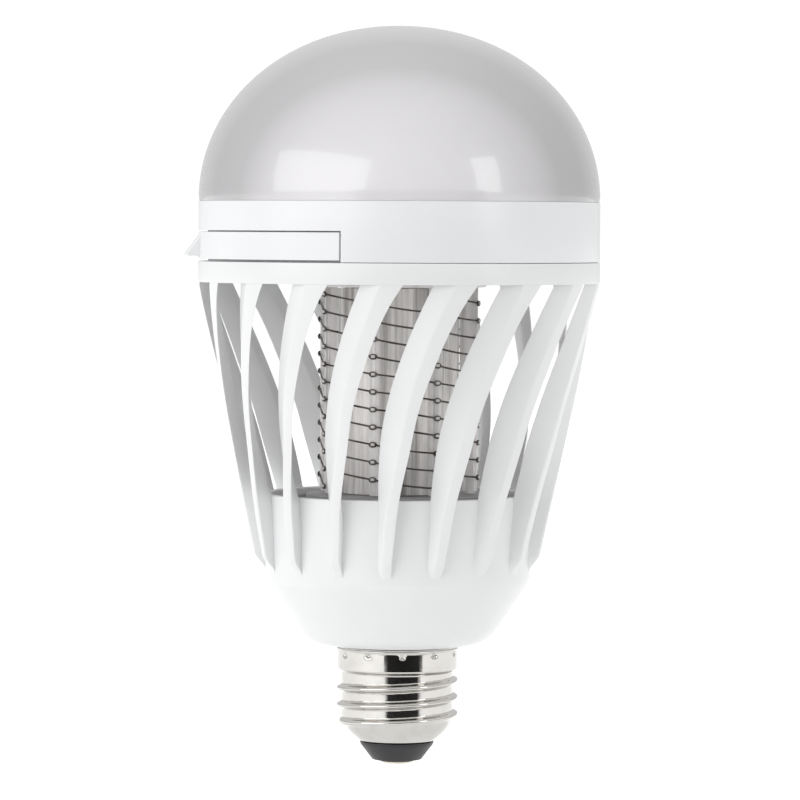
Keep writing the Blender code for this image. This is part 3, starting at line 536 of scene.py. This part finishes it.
def model_fins():
    """One fin, drawn up from its tip into the ring, then copied round the cage."""
    top = RING_Z + 0.0006
    heights = [TIP_Z + TIP_SLOPE * (n / TIP_SECTIONS) for n in range(TIP_SECTIONS)]
    heights += [TIP_Z + TIP_SLOPE + (top - TIP_Z - TIP_SLOPE) * n / FIN_SECTIONS
                for n in range(FIN_SECTIONS + 1)]
    sections = [rounded_section(fin_section(z), FIN_EDGE) for z in heights]
    first = drawn_out("cage_fin", sections, 50.0)
    return [first] + [copied(first, 360.0 * n / FIN_COUNT) for n in range(1, FIN_COUNT)]


def model_cage():
    """Ring, fins, and the cup with its cone and neck, as one moulding."""
    ring = turned("cage_ring_shape",
                  [(HEAD_RADIUS - 0.0008, SEAM_Z + SEAM), (HEAD_RADIUS, SEAM_Z + SEAM, 0.00014),
                   (HEAD_RADIUS, RING_Z, 0.0002), (RING_BORE, RING_Z, 0.0003),
                   (RING_BORE, SEAM_Z + SEAM, 0.0002), (HEAD_RADIUS - 0.0008, SEAM_Z + SEAM)], 192, 3)
    neck_z = cup_low.z
    seat_z = base_low.z - GAP
    pocket_z = base_low.z - 0.0092
    rim_start = CUP_RIM_RADIUS - 0.0010
    cup = turned("cage_cup_shape",
                 [(rim_start, RIM_Z), (CUP_RIM_RADIUS, RIM_Z, 0.0003),
                  (CUP_FOOT_RADIUS, CUP_Z, 0.0012), (0.0213, CONE_Z + 0.0031, 0.0016),
                  (0.0192, CONE_Z + 0.0011, 0.0014), (0.0165, CONE_Z + 0.0002, 0.0010),
                  (0.0139, CONE_Z, 0.0002), (0.0109, CONE_Z + 0.0002), (0.0109, neck_z),
                  (0.0091, neck_z), (0.0091, CONE_Z + 0.0018), (0.0125, CONE_Z + 0.0018),
                  (0.0195, CONE_Z + 0.0038), (0.0248, CUP_Z + 0.0009), (0.0248, pocket_z),
                  (0.0259, pocket_z), (0.0259, seat_z), (CUP_BORE, seat_z), (CUP_BORE, RIM_Z, 0.0004),
                  (rim_start, RIM_Z)], 192, 5)
    return joined("cage", [cup, ring] + model_fins())


# ---- head -------------------------------------------------------------------------------

def brush_arc_sections(inner, outer, low, high, spare, steps):
    """Sections round the collar for the brush's handle or for the recess that takes it."""
    half = BRUSH_ARC / 2 + math.degrees(spare / HEAD_RADIUS)
    made = []
    for step in range(steps + 1):
        angle = -90.0 - half + 2 * half * step / steps
        made.append([polar(radius, angle, height) for radius, height in
                     ((inner, low), (outer, low), (outer, high), (inner, high))])
    return made


def model_collar():
    """Collar with its deck and spigot, the recess for the brush and the pocket for its bristles."""
    deck_z = HEAD_Z + 0.0060
    deck_top = deck_z + 0.0012
    deck_hole = 0.0060
    bottom = collar_low.z
    spigot = RING_BORE - GAP
    collar = turned("head_collar_shape",
                    [(HEAD_RADIUS - 0.0010, COLLAR_TOP_Z), (HEAD_RADIUS, COLLAR_TOP_Z, 0.0003),
                     (HEAD_RADIUS, HEAD_Z - SEAM, 0.00014), (spigot, HEAD_Z - SEAM),
                     (spigot, bottom, 0.0003), (COLLAR_BORE, bottom, 0.0003),
                     (COLLAR_BORE, deck_z), (deck_hole, deck_z),
                     (deck_hole, deck_top), (COLLAR_BORE, deck_top),
                     (COLLAR_BORE, COLLAR_TOP_Z, 0.0003), (HEAD_RADIUS - 0.0010, COLLAR_TOP_Z)], 192, 3)
    tall, wide, wall = 0.00185, 0.0106, 0.001
    end = bristles_high.x + 3 * GAP
    cut(collar, block("pocket_wall", (-COLLAR_BORE - wall, -wide - wall, BRISTLE_Z - tall - wall),
                      (end + wall, wide + wall, deck_z + 0.0006), 0.0), "UNION")
    recess = brush_arc_sections(BRUSH_BACK - GAP, HEAD_RADIUS + 0.004, HEAD_Z - 0.0001,
                                handle_high.z + GAP, GAP, 64)
    cut(collar, drawn_out("recess", recess))
    cut(collar, block("pocket", (-HEAD_RADIUS, -wide, BRISTLE_Z - tall),
                      (end, wide, BRISTLE_Z + tall), 0.0002, 2))
    only(collar)
    bpy.ops.object.shade_smooth_by_angle(angle=math.radians(35.0))
    return collar


def model_dome():
    """Outside from its foot to the crown, then the inside back down to its lip."""
    foot = COLLAR_TOP_Z + 0.00002
    height = dome_high.z - foot
    power = 2.05
    lip = COLLAR_BORE - GAP

    def outline(radius, tall, steps):
        made = []
        for n in range(steps + 1):
            share = math.sin(math.pi / 2 * n / steps)
            made.append((radius * max(0.0, 1.0 - share ** power) ** (1.0 / power),
                         foot + tall * share))
        return made

    outer = outline(HEAD_RADIUS, height, 44)
    inner = [p for p in outline(HEAD_RADIUS - DOME_WALL, height - DOME_WALL, 24)
             if p[1] > foot + 0.0024]
    lip_bore, mouth_z = lip - 0.0012, foot + 0.0018
    skirt = [(lip_bore, dome_low.z), (lip, dome_low.z, 0.0003), (lip, foot)]
    base = [(HEAD_RADIUS - 0.0002, foot)]
    mouth = [(HEAD_RADIUS - DOME_WALL, mouth_z), (lip_bore, mouth_z), (lip_bore, dome_low.z)]
    return turned("diffuser_shape", skirt + base + outer[1:] + inner[::-1] + mouth, 192, 3, 50.0)


# ---- brush ------------------------------------------------------------------------------

def model_brush_handle():
    """Curved handle with softened ends, a finger lip and the block that grips the bristles."""
    low, high = HEAD_Z + GAP, handle_high.z
    handle = drawn_out("brush_handle_shape",
                       brush_arc_sections(BRUSH_BACK, HEAD_RADIUS, low, high, 0.0, 96))
    bevelled(handle, 0.00016, 2, 50.0)
    half, reach = 0.0080, HEAD_RADIUS + 0.0030
    foot, crown = low + 0.0006, low + 0.0054
    root = BRUSH_BACK + 0.0005
    outline = [(root, foot), (reach, foot), (reach, foot + 0.0005),
               (HEAD_RADIUS - 0.0002, crown), (root, crown)]
    sections = []
    for step in range(9):
        y = -half + 2 * half * step / 8
        bow = math.sqrt(HEAD_RADIUS ** 2 - y * y) - HEAD_RADIUS
        sections.append([Vector((-radius - bow, y, z)) for radius, z in outline])
    lip = bevelled(drawn_out("brush_lip", sections), 0.00022, 3, 30.0)
    tall, wide = 0.0014, 0.0100
    grip = block("brush_grip", (-BRUSH_BACK - 0.0004, -wide, BRISTLE_Z - tall),
                 (bristles_low.x - GAP, wide, BRISTLE_Z + tall), 0.00025, 2)
    only(handle)
    bpy.ops.object.shade_smooth_by_angle(angle=math.radians(35.0))
    return joined("brush_handle_shape", [handle, lip, grip])


def model_bristles():
    """Nylon tufts in two rows, each a bunch of tapered filaments."""
    rows, columns = 2, 12
    size = bristles_high - bristles_low
    bpy.ops.object.select_all(action="DESELECT")
    bpy.ops.mesh.primitive_cone_add(vertices=6, radius1=0.00013, radius2=0.00007, depth=size.x + GAP,
                                    location=(0.0, 0.0, 0.0), rotation=(0.0, math.pi / 2, 0.0))
    filament = begin("filament")
    bpy.ops.mesh.select_all(action="SELECT")
    close_up(filament)
    rings = ((0.0, 1), (0.00032, 5), (0.00058, 9))
    spots = [(math.cos(a) * r, math.sin(a) * r) for r, n in rings
             for a in [math.tau * k / n + r * 900 for k in range(n)]]
    middle = (bristles_low + bristles_high) / 2
    tuft = joined("tuft", [copied(filament, 0.0, (0.0, y, z)) for y, z in spots])
    bpy.data.objects.remove(filament, do_unlink=True)
    tufts = []
    for row in range(rows):
        for column in range(columns):
            y = (column - 5.5 + 0.5 * (row - 0.5)) * 0.00152
            z = middle.z + (row - 0.5) * 0.00098
            lean = 0.00012 * math.sin(7.0 * column + 3.0 * row)
            tufts.append(copied(tuft, 0.0, (middle.x - GAP / 2, y + lean, z)))
    bpy.data.objects.remove(tuft, do_unlink=True)
    return joined("brush_bristle_rows", tufts)


# ---- live grid --------------------------------------------------------------------------

def knot_places():
    """Where each wire crosses a post, from the top down: (wire, angle, height)."""
    top = posts_high.z - DISC_THICKNESS - GAP - WIRE_TOP_DROP
    bottom = base_high.z + WIRE_SPACING / 3
    for wire in range(WIRE_COUNT):
        height, angle = top, POST_PHASE - 2 * POST_PITCH - 360.0 / WIRE_COUNT * wire
        while height > bottom:
            yield wire, angle, height
            height -= WIRE_DROP
            angle += POST_PITCH


def model_wires():
    """Thin wires strung from post to post, each span slightly slack, with a loop at each post."""
    pieces = []
    steps = 8
    for wire in range(WIRE_COUNT):
        knots = [(angle, height) for number, angle, height in knot_places() if number == wire]
        route = []
        for n, (angle, height) in enumerate(knots):
            route.append(polar(WIRE_RADIUS, angle, height))
            if n == len(knots) - 1:
                break
            start, end = route[-1], polar(WIRE_RADIUS, angle + POST_PITCH, height - WIRE_DROP)
            slack = 0.00022 * math.sin(5.1 * n + 2.3 * wire) - 0.00012
            for step in range(1, steps):
                t = step / steps
                point = start.lerp(end, t)
                point.z += slack * 4 * t * (1 - t)
                route.append(point)
        curve = bpy.data.curves.new("grid_wire_path", "CURVE")
        curve.dimensions = "3D"
        curve.bevel_depth = WIRE_THICKNESS / 2
        curve.bevel_resolution = 1
        curve.use_fill_caps = True
        spline = curve.splines.new("POLY")
        spline.points.add(len(route) - 1)
        for knot, point in zip(spline.points, route):
            knot.co = (*point, 1.0)
        strand = bpy.data.objects.new("grid_wire_path", curve)
        bpy.context.scene.collection.objects.link(strand)
        only(strand)
        bpy.ops.object.convert(target="MESH")
        pieces.append(bpy.context.active_object)
    bpy.ops.object.select_all(action="DESELECT")
    bpy.ops.mesh.primitive_torus_add(major_radius=0.00046, minor_radius=WIRE_THICKNESS / 2,
                                     major_segments=14, minor_segments=6,
                                     location=(0.0, 0.0, 0.0), rotation=(math.pi / 2, 0.0, 0.0))
    loop = begin("wire_loop")
    bpy.ops.mesh.select_all(action="SELECT")
    bpy.ops.transform.resize(value=(1.45, 1.0, 0.95), center_override=(0.0, 0.0, 0.0))
    close_up(loop)
    for wire, angle, height in knot_places():
        pieces.append(copied(loop, angle, (0.0, -WIRE_RADIUS - 0.00002, height - 0.00005)))
    bpy.data.objects.remove(loop, do_unlink=True)
    return joined("grid_wires", pieces)


def model_grid_frame():
    """Clear posts with a peg behind each wire, hung from a disc."""
    disc_z = posts_high.z - DISC_THICKNESS
    radius, bore = WIRE_RADIUS + 0.0009, 0.0040
    disc = turned("grid_disc", [(bore, posts_high.z), (bore, disc_z), (radius, disc_z, 0.0003),
                                (radius, posts_high.z, 0.0003), (bore, posts_high.z)], 96, 3)
    outer = WIRE_RADIUS - 0.0006
    post = block("post", (-0.0009, -outer, posts_low.z),
                 (0.0009, -outer + 0.0020, disc_z + 0.0004), 0.0002, 2)
    web = block("post_web", (-0.00035, -outer - 0.00042, posts_low.z + 0.0006),
                (0.00035, -outer + 0.0004, disc_z), 0.00012, 2)
    peg = block("peg", (-0.00042, -WIRE_RADIUS - 0.0004, -0.00030),
                (0.00042, -outer + 0.0003, 0.00030), 0.00014, 2)
    pieces = [disc]
    for n in range(POST_COUNT):
        angle = POST_PHASE + POST_PITCH * n
        pieces += [copied(post, angle), copied(web, angle)]
    for wire, angle, height in knot_places():
        pieces.append(copied(peg, angle, (0.0, 0.0, height)))
    for spare in (post, web, peg):
        bpy.data.objects.remove(spare, do_unlink=True)
    return joined("grid_frame_shape", pieces)


def model_light_tube():
    """Fluted clear tube round the light strip."""
    sides, flute = 180, 5
    middle, tall = (light_low.z + light_high.z) / 2, light_high.z - light_low.z
    bpy.ops.object.select_all(action="DESELECT")
    bpy.ops.mesh.primitive_cylinder_add(vertices=sides, radius=light_high.x, depth=tall,
                                        end_fill_type="NOTHING", location=(0.0, 0.0, middle))
    tube = begin("light_tube_shape")
    bm = bmesh.from_edit_mesh(tube.data)
    for vert in bm.verts:
        turn = math.atan2(vert.co.y, vert.co.x) / math.tau * sides
        vert.select = round(turn) % flute == 0
    bm.select_flush_mode()
    bpy.ops.transform.resize(value=(0.975, 0.975, 1.0), center_override=(0.0, 0.0, 0.0))
    close_up(tube, 60.0)
    return modified(tube, "SOLIDIFY", thickness=0.0009, offset=-1.0)


def model_grid_base():
    """Disc that closes the cup, its raised hub, and a low rib round the hub."""
    hub, bore = WIRE_RADIUS + 0.0019, 0.0040
    flat = base_low.z + 0.0018
    return turned("grid_base_shape",
                  [(bore, base_high.z), (hub, base_high.z, 0.0003), (hub, flat, 0.0004),
                   (hub + 0.0022, flat), (hub + 0.0024, flat + 0.0007, 0.0002),
                   (hub + 0.0032, flat + 0.0007, 0.0002), (hub + 0.0034, flat),
                   (base_high.x, flat, 0.0003), (base_high.x, base_low.z), (bore, base_low.z),
                   (bore, base_high.z)], 128, 3)


# ---- screw cap --------------------------------------------------------------------------

THREAD_RADIUS = 0.0131
THREAD_DEPTH = 0.0010
THREAD_PITCH = 0.00363
SKIRT_RADIUS = 0.0130
PUNCH_COUNT = 11
PUNCH_DROP = 0.0014     # the punch marks below the shell's upper edge


def thread_height(place):
    """How far the rolled thread stands out at a point, 0 in the root and 1 on the crest."""
    low, high = SHELL_Z + 0.0033, SHELL_Z + 0.0148
    if place.xy.length < 0.0112 or not low < place.z < high:
        return 0.0
    angle = math.atan2(place.x, -place.y)
    turn = (place.z - low - 0.0017) / THREAD_PITCH - angle / math.tau
    away = abs(turn - round(turn))
    fade = smooth_step((place.z - low) / 0.0010) * smooth_step((high - place.z) / 0.0013)
    crest = smooth_step((0.27 - away) / 0.24) + 0.03 * math.cos(math.tau * away)
    return crest / 1.03 * fade


def punch_depth(place):
    """Small punch marks round the skirt, which hold the shell on the neck."""
    if place.xy.length < 0.0126 or place.z < SHELL_Z + 0.0160:
        return 0.0
    angle = math.degrees(math.atan2(place.x, -place.y))
    deep = 0.0
    for number in range(PUNCH_COUNT):
        mark = 5.0 + 360.0 / PUNCH_COUNT * number + 2.5 * math.sin(3.1 * number)
        off = (angle - mark + 180.0) % 360.0 - 180.0
        across = math.radians(off) * SKIRT_RADIUS / 0.00042
        up = place.z - shell_high.z + PUNCH_DROP + 0.0002 * math.sin(5.0 * number)
        up = up / 0.00040
        deep = max(deep, math.exp(-(across * across + up * up)))
    return deep


def rim_waver(place):
    """The rolled rim is a little uneven."""
    up = (place.z - shell_high.z + 0.0004) / 0.0003
    angle = math.atan2(place.x, -place.y)
    waver = 0.5 + 0.3 * math.sin(9.0 * angle) + 0.2 * math.sin(23.0 * angle + 1.0)
    return math.exp(-up * up) * waver


def model_screw_shell():
    """Rolled shell, drawn up as a plain one; the thread, punch marks and rim are pushed out after."""
    root = THREAD_RADIUS - THREAD_DEPTH
    top = shell_high.z
    foot = [(0.0079, SHELL_Z), (0.0084, SHELL_Z + 0.00018), (0.0091, SHELL_Z + 0.0008),
            (0.0099, SHELL_Z + 0.0015), (0.0105, SHELL_Z + 0.0021), (0.0110, SHELL_Z + 0.0027),
            (0.0114, SHELL_Z + 0.0033), (0.0117, SHELL_Z + 0.0039), (0.0119, SHELL_Z + 0.0044)]
    low, high = SHELL_Z + 0.0048, SHELL_Z + 0.0149
    rows = 68
    thread = [(root, low + (high - low) * n / rows) for n in range(rows + 1)]
    flare, bands = 6, 26
    skirt = [(root + (SKIRT_RADIUS - root) * smooth_step(n / flare), high + 0.0009 * n / flare)
             for n in range(1, flare + 1)]
    skirt_low = skirt[-1][1]
    skirt += [(SKIRT_RADIUS, skirt_low + (top - 0.0009 - skirt_low) * n / bands)
              for n in range(1, bands + 1)]
    rim = [(0.01301, top - 0.00075), (0.01312, top - 0.0006), (0.01316, top - 0.00042),
           (0.01308, top - 0.00024), (0.01300, top - 0.00014), (0.01306, top), (0.0127, top)]
    inside = [(0.0124, top - 0.0006), (0.0112, high), (0.0108, low), (0.0098, SHELL_Z + 0.0021),
              (0.0078, SHELL_Z + 0.0006), (0.0079, SHELL_Z)]
    shell = turned("screw_shell_shape", foot + thread + skirt + rim + inside, 224, 2, 60.0)
    for name, rule, strength in (("thread", thread_height, THREAD_DEPTH),
                                 ("punches", punch_depth, -0.00055),
                                 ("rolled_rim", rim_waver, 0.00012)):
        modified(shell, "DISPLACE", vertex_group=weights(shell, name, rule),
                 strength=strength, mid_level=0.0)
    return shell


def model_insulator():
    """Black cone with a hole for the contact's stem and a boss that stands up in the shell."""
    low, high = insulator_low.z, SHELL_Z
    hole, boss, shoulder = 0.0016, 0.0074, high - GAP / 3
    return turned("contact_insulator_shape",
                  [(hole, low), (0.0053, low, 0.00018), (0.0079, high - 0.0007, 0.0003),
                   (0.0080, shoulder, 0.0002), (boss, shoulder), (boss, insulator_high.z),
                   (hole, insulator_high.z), (hole, low)], 128, 4)


def model_contact():
    """Pressed contact with a flat solder pad."""
    high, stem = insulator_low.z - GAP, 0.0013
    return turned("centre_contact_shape",
                  [(0.0, 0.0), (0.0029, 0.0, 0.0002), (0.0034, 0.00025, 0.0003),
                   (0.0038, high, 0.0002), (stem, high), (stem, contact_high.z, 0.0002),
                   (0.0, contact_high.z)], 96, 4)


# ---- put it together --------------------------------------------------------------------

def dress_object():
    """Model every visible piece, and give each piece its finish, body and node."""
    cage_white = moulded_white("cage_abs", (0.795, 0.800, 0.802), (0.772, 0.778, 0.780))
    collar_white = moulded_white("collar_abs", (0.800, 0.806, 0.815), (0.780, 0.786, 0.797),
                                 0.26, 0.03)
    nickel = plated("nickel_plate", (0.635, 0.62, 0.595), (0.555, 0.54, 0.51), 0.045)
    tin = plated("tinned_brass", (0.74, 0.70, 0.60), (0.60, 0.54, 0.42), 0.25)
    # Both clear finishes carry painted light and dark stripes, and their last value is a painted glow
    clear = clear_moulding("clear_posts", (0.93, 0.91, 0.90), (0.50, 0.485, 0.475), 0.30, 0.13)
    fluted = clear_moulding("fluted_tube", (0.99, 0.965, 0.945), (0.30, 0.288, 0.28),
                            0.12, 0.15)
    # The grid's base gets a flat mid grey colour
    grey = plain_finish("mid_grey_finish", (0.34, 0.34, 0.345), 0.42)
    nylon = plain_finish("bristle_nylon", (0.70, 0.70, 0.71), 0.45, scale=900.0)

    fins = ["cage_fin_%d" % (n + 1) for n in range(FIN_COUNT)]
    strands = ["grid_wire_%d" % (n + 1) for n in range(WIRE_COUNT)]
    settle(model_cage(), "lamp", "cage_plastic", cage_white, "cage_ring", "cage_cup", *fins)
    settle(model_collar(), "lamp", "collar_plastic", collar_white, "head_collar")
    settle(model_dome(), "lamp", "dome_plastic", milky_dome(), "diffuser_dome")
    settle(model_brush_handle(), "brush", "collar_plastic", collar_white, "brush_handle")
    settle(model_bristles(), "brush", "bristle_nylon", nylon, "brush_bristles")
    settle(model_wires(), "lamp", "wire_steel", drawn_wire(), *strands)
    settle(model_grid_frame(), "lamp", "clear_plastic", clear, "grid_frame")
    settle(model_light_tube(), "lamp", "clear_plastic", fluted, "light_tube")
    settle(model_grid_base(), "lamp", "grey_plastic", grey, "grid_base")
    settle(model_screw_shell(), "lamp", "cap_nickel", nickel, "screw_shell")
    settle(model_insulator(), "lamp", "black_insulator", black_glass(), "contact_insulator")
    settle(model_contact(), "lamp", "contact_brass", tin, "centre_contact")

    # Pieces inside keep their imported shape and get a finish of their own
    inside = {
        "head_floor": collar_white,
        "heat_sink": plain_finish("pressed_aluminium", (0.78, 0.78, 0.79), 0.32, 1.0, scale=250.0),
        "led_plate": plain_finish("white_resist", (0.82, 0.83, 0.80), 0.36),
        "uv_board": plain_finish("light_strip_resist", (0.80, 0.81, 0.80), 0.38),
        "driver_board": plain_finish("green_resist", (0.04, 0.24, 0.10), 0.35, scale=700.0),
        "transformer": plain_finish("ferrite", (0.07, 0.07, 0.08), 0.65, scale=800.0),
        "smoothing_capacitor": plain_finish("capacitor_sleeve", (0.05, 0.06, 0.09), 0.35),
        "film_capacitor": plain_finish("dipped_epoxy", (0.72, 0.50, 0.08), 0.40),
        "choke_coil": plain_finish("enamelled_copper", (0.70, 0.34, 0.17), 0.35, 1.0, scale=1200.0),
        "bridge_rectifier": plain_finish("moulded_epoxy", (0.03, 0.03, 0.033), 0.55),
        "fuse_resistor": plain_finish("resistor_cement", (0.70, 0.68, 0.62), 0.75, scale=900.0),
        "led_lead_plus": plain_finish("red_silicone", (0.50, 0.03, 0.02), 0.45),
        "led_lead_minus": plain_finish("black_silicone", (0.025, 0.025, 0.025), 0.45),
        "grid_lead": plain_finish("white_silicone", (0.76, 0.76, 0.74), 0.45),
        "screw": plain_finish("zinc_plate", (0.60, 0.60, 0.60), 0.28, 1.0, scale=1500.0),
    }
    inside["contact_lead"] = inside["led_lead_minus"]
    inside["shell_lead"] = inside["grid_lead"]
    for name, node in nodes.items():
        if node.hide_render:
            continue
        kind = next(key for key in inside if name.startswith(key) or key in name)
        node.data.materials.clear()
        node.data.materials.append(inside[kind])


def stage_piece(name, size, place, tilt, colour, glow=0.0):
    """A flat panel or floor for the set."""
    bpy.ops.object.select_all(action="DESELECT")
    bpy.ops.mesh.primitive_plane_add(size=1.0, location=place, rotation=tilt)
    piece = bpy.context.active_object
    piece.name = piece.data.name = name
    piece.scale = (*size, 1.0)
    finish = Finish(name + "_paint", roughness=0.9)
    cloud = finish.noise(2.0, 3.0)
    finish.set(base_color=finish.blend(cloud, colour, [0.985 * c for c in colour]),
               emission_color=(1.0, 1.0, 1.0), emission_strength=glow)
    piece.data.materials.append(finish.material)
    return piece


def panel_light(name, azimuth, height, distance, size, power):
    """A soft box that faces the lamp; azimuth runs from the front towards +X."""
    lamp = bpy.data.lights.new(name, "AREA")
    lamp.shape = "RECTANGLE"
    lamp.size, lamp.size_y = size
    lamp.energy = power
    made = bpy.data.objects.new(name, lamp)
    bpy.context.scene.collection.objects.link(made)
    made.location = polar(distance, azimuth, height)
    aim = Vector((0.0, 0.0, 0.08)) - made.location
    made.rotation_euler = aim.to_track_quat("-Z", "Y").to_euler()
    made.visible_camera = False
    return made


def light_set():
    """White room and floor, two soft boxes, and cards that the camera only sees reflected."""
    world = bpy.data.worlds.new("studio")
    bpy.context.scene.world = world
    world.use_nodes = True
    tree = world.node_tree
    around = tree.nodes["Background"]
    around.inputs["Color"].default_value = (1.0, 1.0, 1.0, 1.0)
    # The room is a little brighter overhead
    ways = tree.nodes.new("ShaderNodeTexCoord")
    height = tree.nodes.new("ShaderNodeSeparateXYZ")
    square, glow = tree.nodes.new("ShaderNodeMath"), tree.nodes.new("ShaderNodeMath")
    square.operation, glow.operation = "POWER", "MULTIPLY_ADD"
    square.inputs[1].default_value = 2.0
    glow.inputs[1].default_value, glow.inputs[2].default_value = 0.54, 0.705
    tree.links.new(ways.outputs["Generated"], height.inputs[0])
    tree.links.new(height.outputs["Z"], square.inputs[0])
    tree.links.new(square.outputs[0], glow.inputs[0])
    tree.links.new(glow.outputs[0], around.inputs["Strength"])
    seen = tree.nodes.new("ShaderNodeBackground")
    seen.inputs["Color"].default_value = (1.0, 1.0, 1.0, 1.0)
    seen.inputs["Strength"].default_value = 1.05
    path = tree.nodes.new("ShaderNodeLightPath")
    mix = tree.nodes.new("ShaderNodeMixShader")
    tree.links.new(path.outputs["Is Camera Ray"], mix.inputs[0])
    tree.links.new(around.outputs[0], mix.inputs[1])
    tree.links.new(seen.outputs[0], mix.inputs[2])
    tree.links.new(mix.outputs[0], tree.nodes["World Output"].inputs["Surface"])

    flat, black, aside = (0.0, 0.0, 0.0), (0.01, 0.01, 0.01), 12.0
    turn = math.radians(aside)
    stage_piece("floor", (8.0, 8.0), (0.0, 0.0, -0.09), flat, (0.50, 0.50, 0.50), 0.72)
    cards = [
        stage_piece("dark_flag", (1.356, 0.27), polar(0.9, aside, 0.045),
                    (math.pi / 2, 0.0, turn), black),
        stage_piece("shade_card", (0.40, 0.40), (0.0, 0.0, -0.085), flat, (0.40, 0.40, 0.40), 0.62),
        stage_piece("dark_card", (0.99, 0.44), polar(0.66, aside, -0.084), (0.0, 0.0, turn), black),
    ]
    for card in cards:
        card.visible_camera = False
    panel_light("left_panel", -47.5, 0.46, 1.25, (1.38, 0.70), 5.15)
    panel_light("right_strip", 51.5, 0.42, 1.25, (0.34, 0.62), 1.45)


def place_camera():
    """Long lens a little above the middle of the lamp, with a trace of roll."""
    distance, rise, aim_z = 0.959, math.radians(2.25), 0.0784
    lens = bpy.data.cameras.new("camera")
    lens.lens = 200.25
    lens.sensor_width = 36.0
    camera = bpy.data.objects.new("camera", lens)
    bpy.context.scene.collection.objects.link(camera)
    aside, roll = 0.00033, math.radians(0.28)
    camera.location = (aside, -distance * math.cos(rise), aim_z + distance * math.sin(rise))
    aim = Vector((aside, 0.0, aim_z)) - camera.location
    look = aim.to_track_quat("-Z", "Y").to_matrix().to_4x4()
    camera.rotation_euler = (look @ Matrix.Rotation(roll, 4, "Z")).to_euler()
    bpy.context.scene.camera = camera


dress_object()
light_set()
place_camera()
bpy.context.scene.view_settings.view_transform = "Standard"
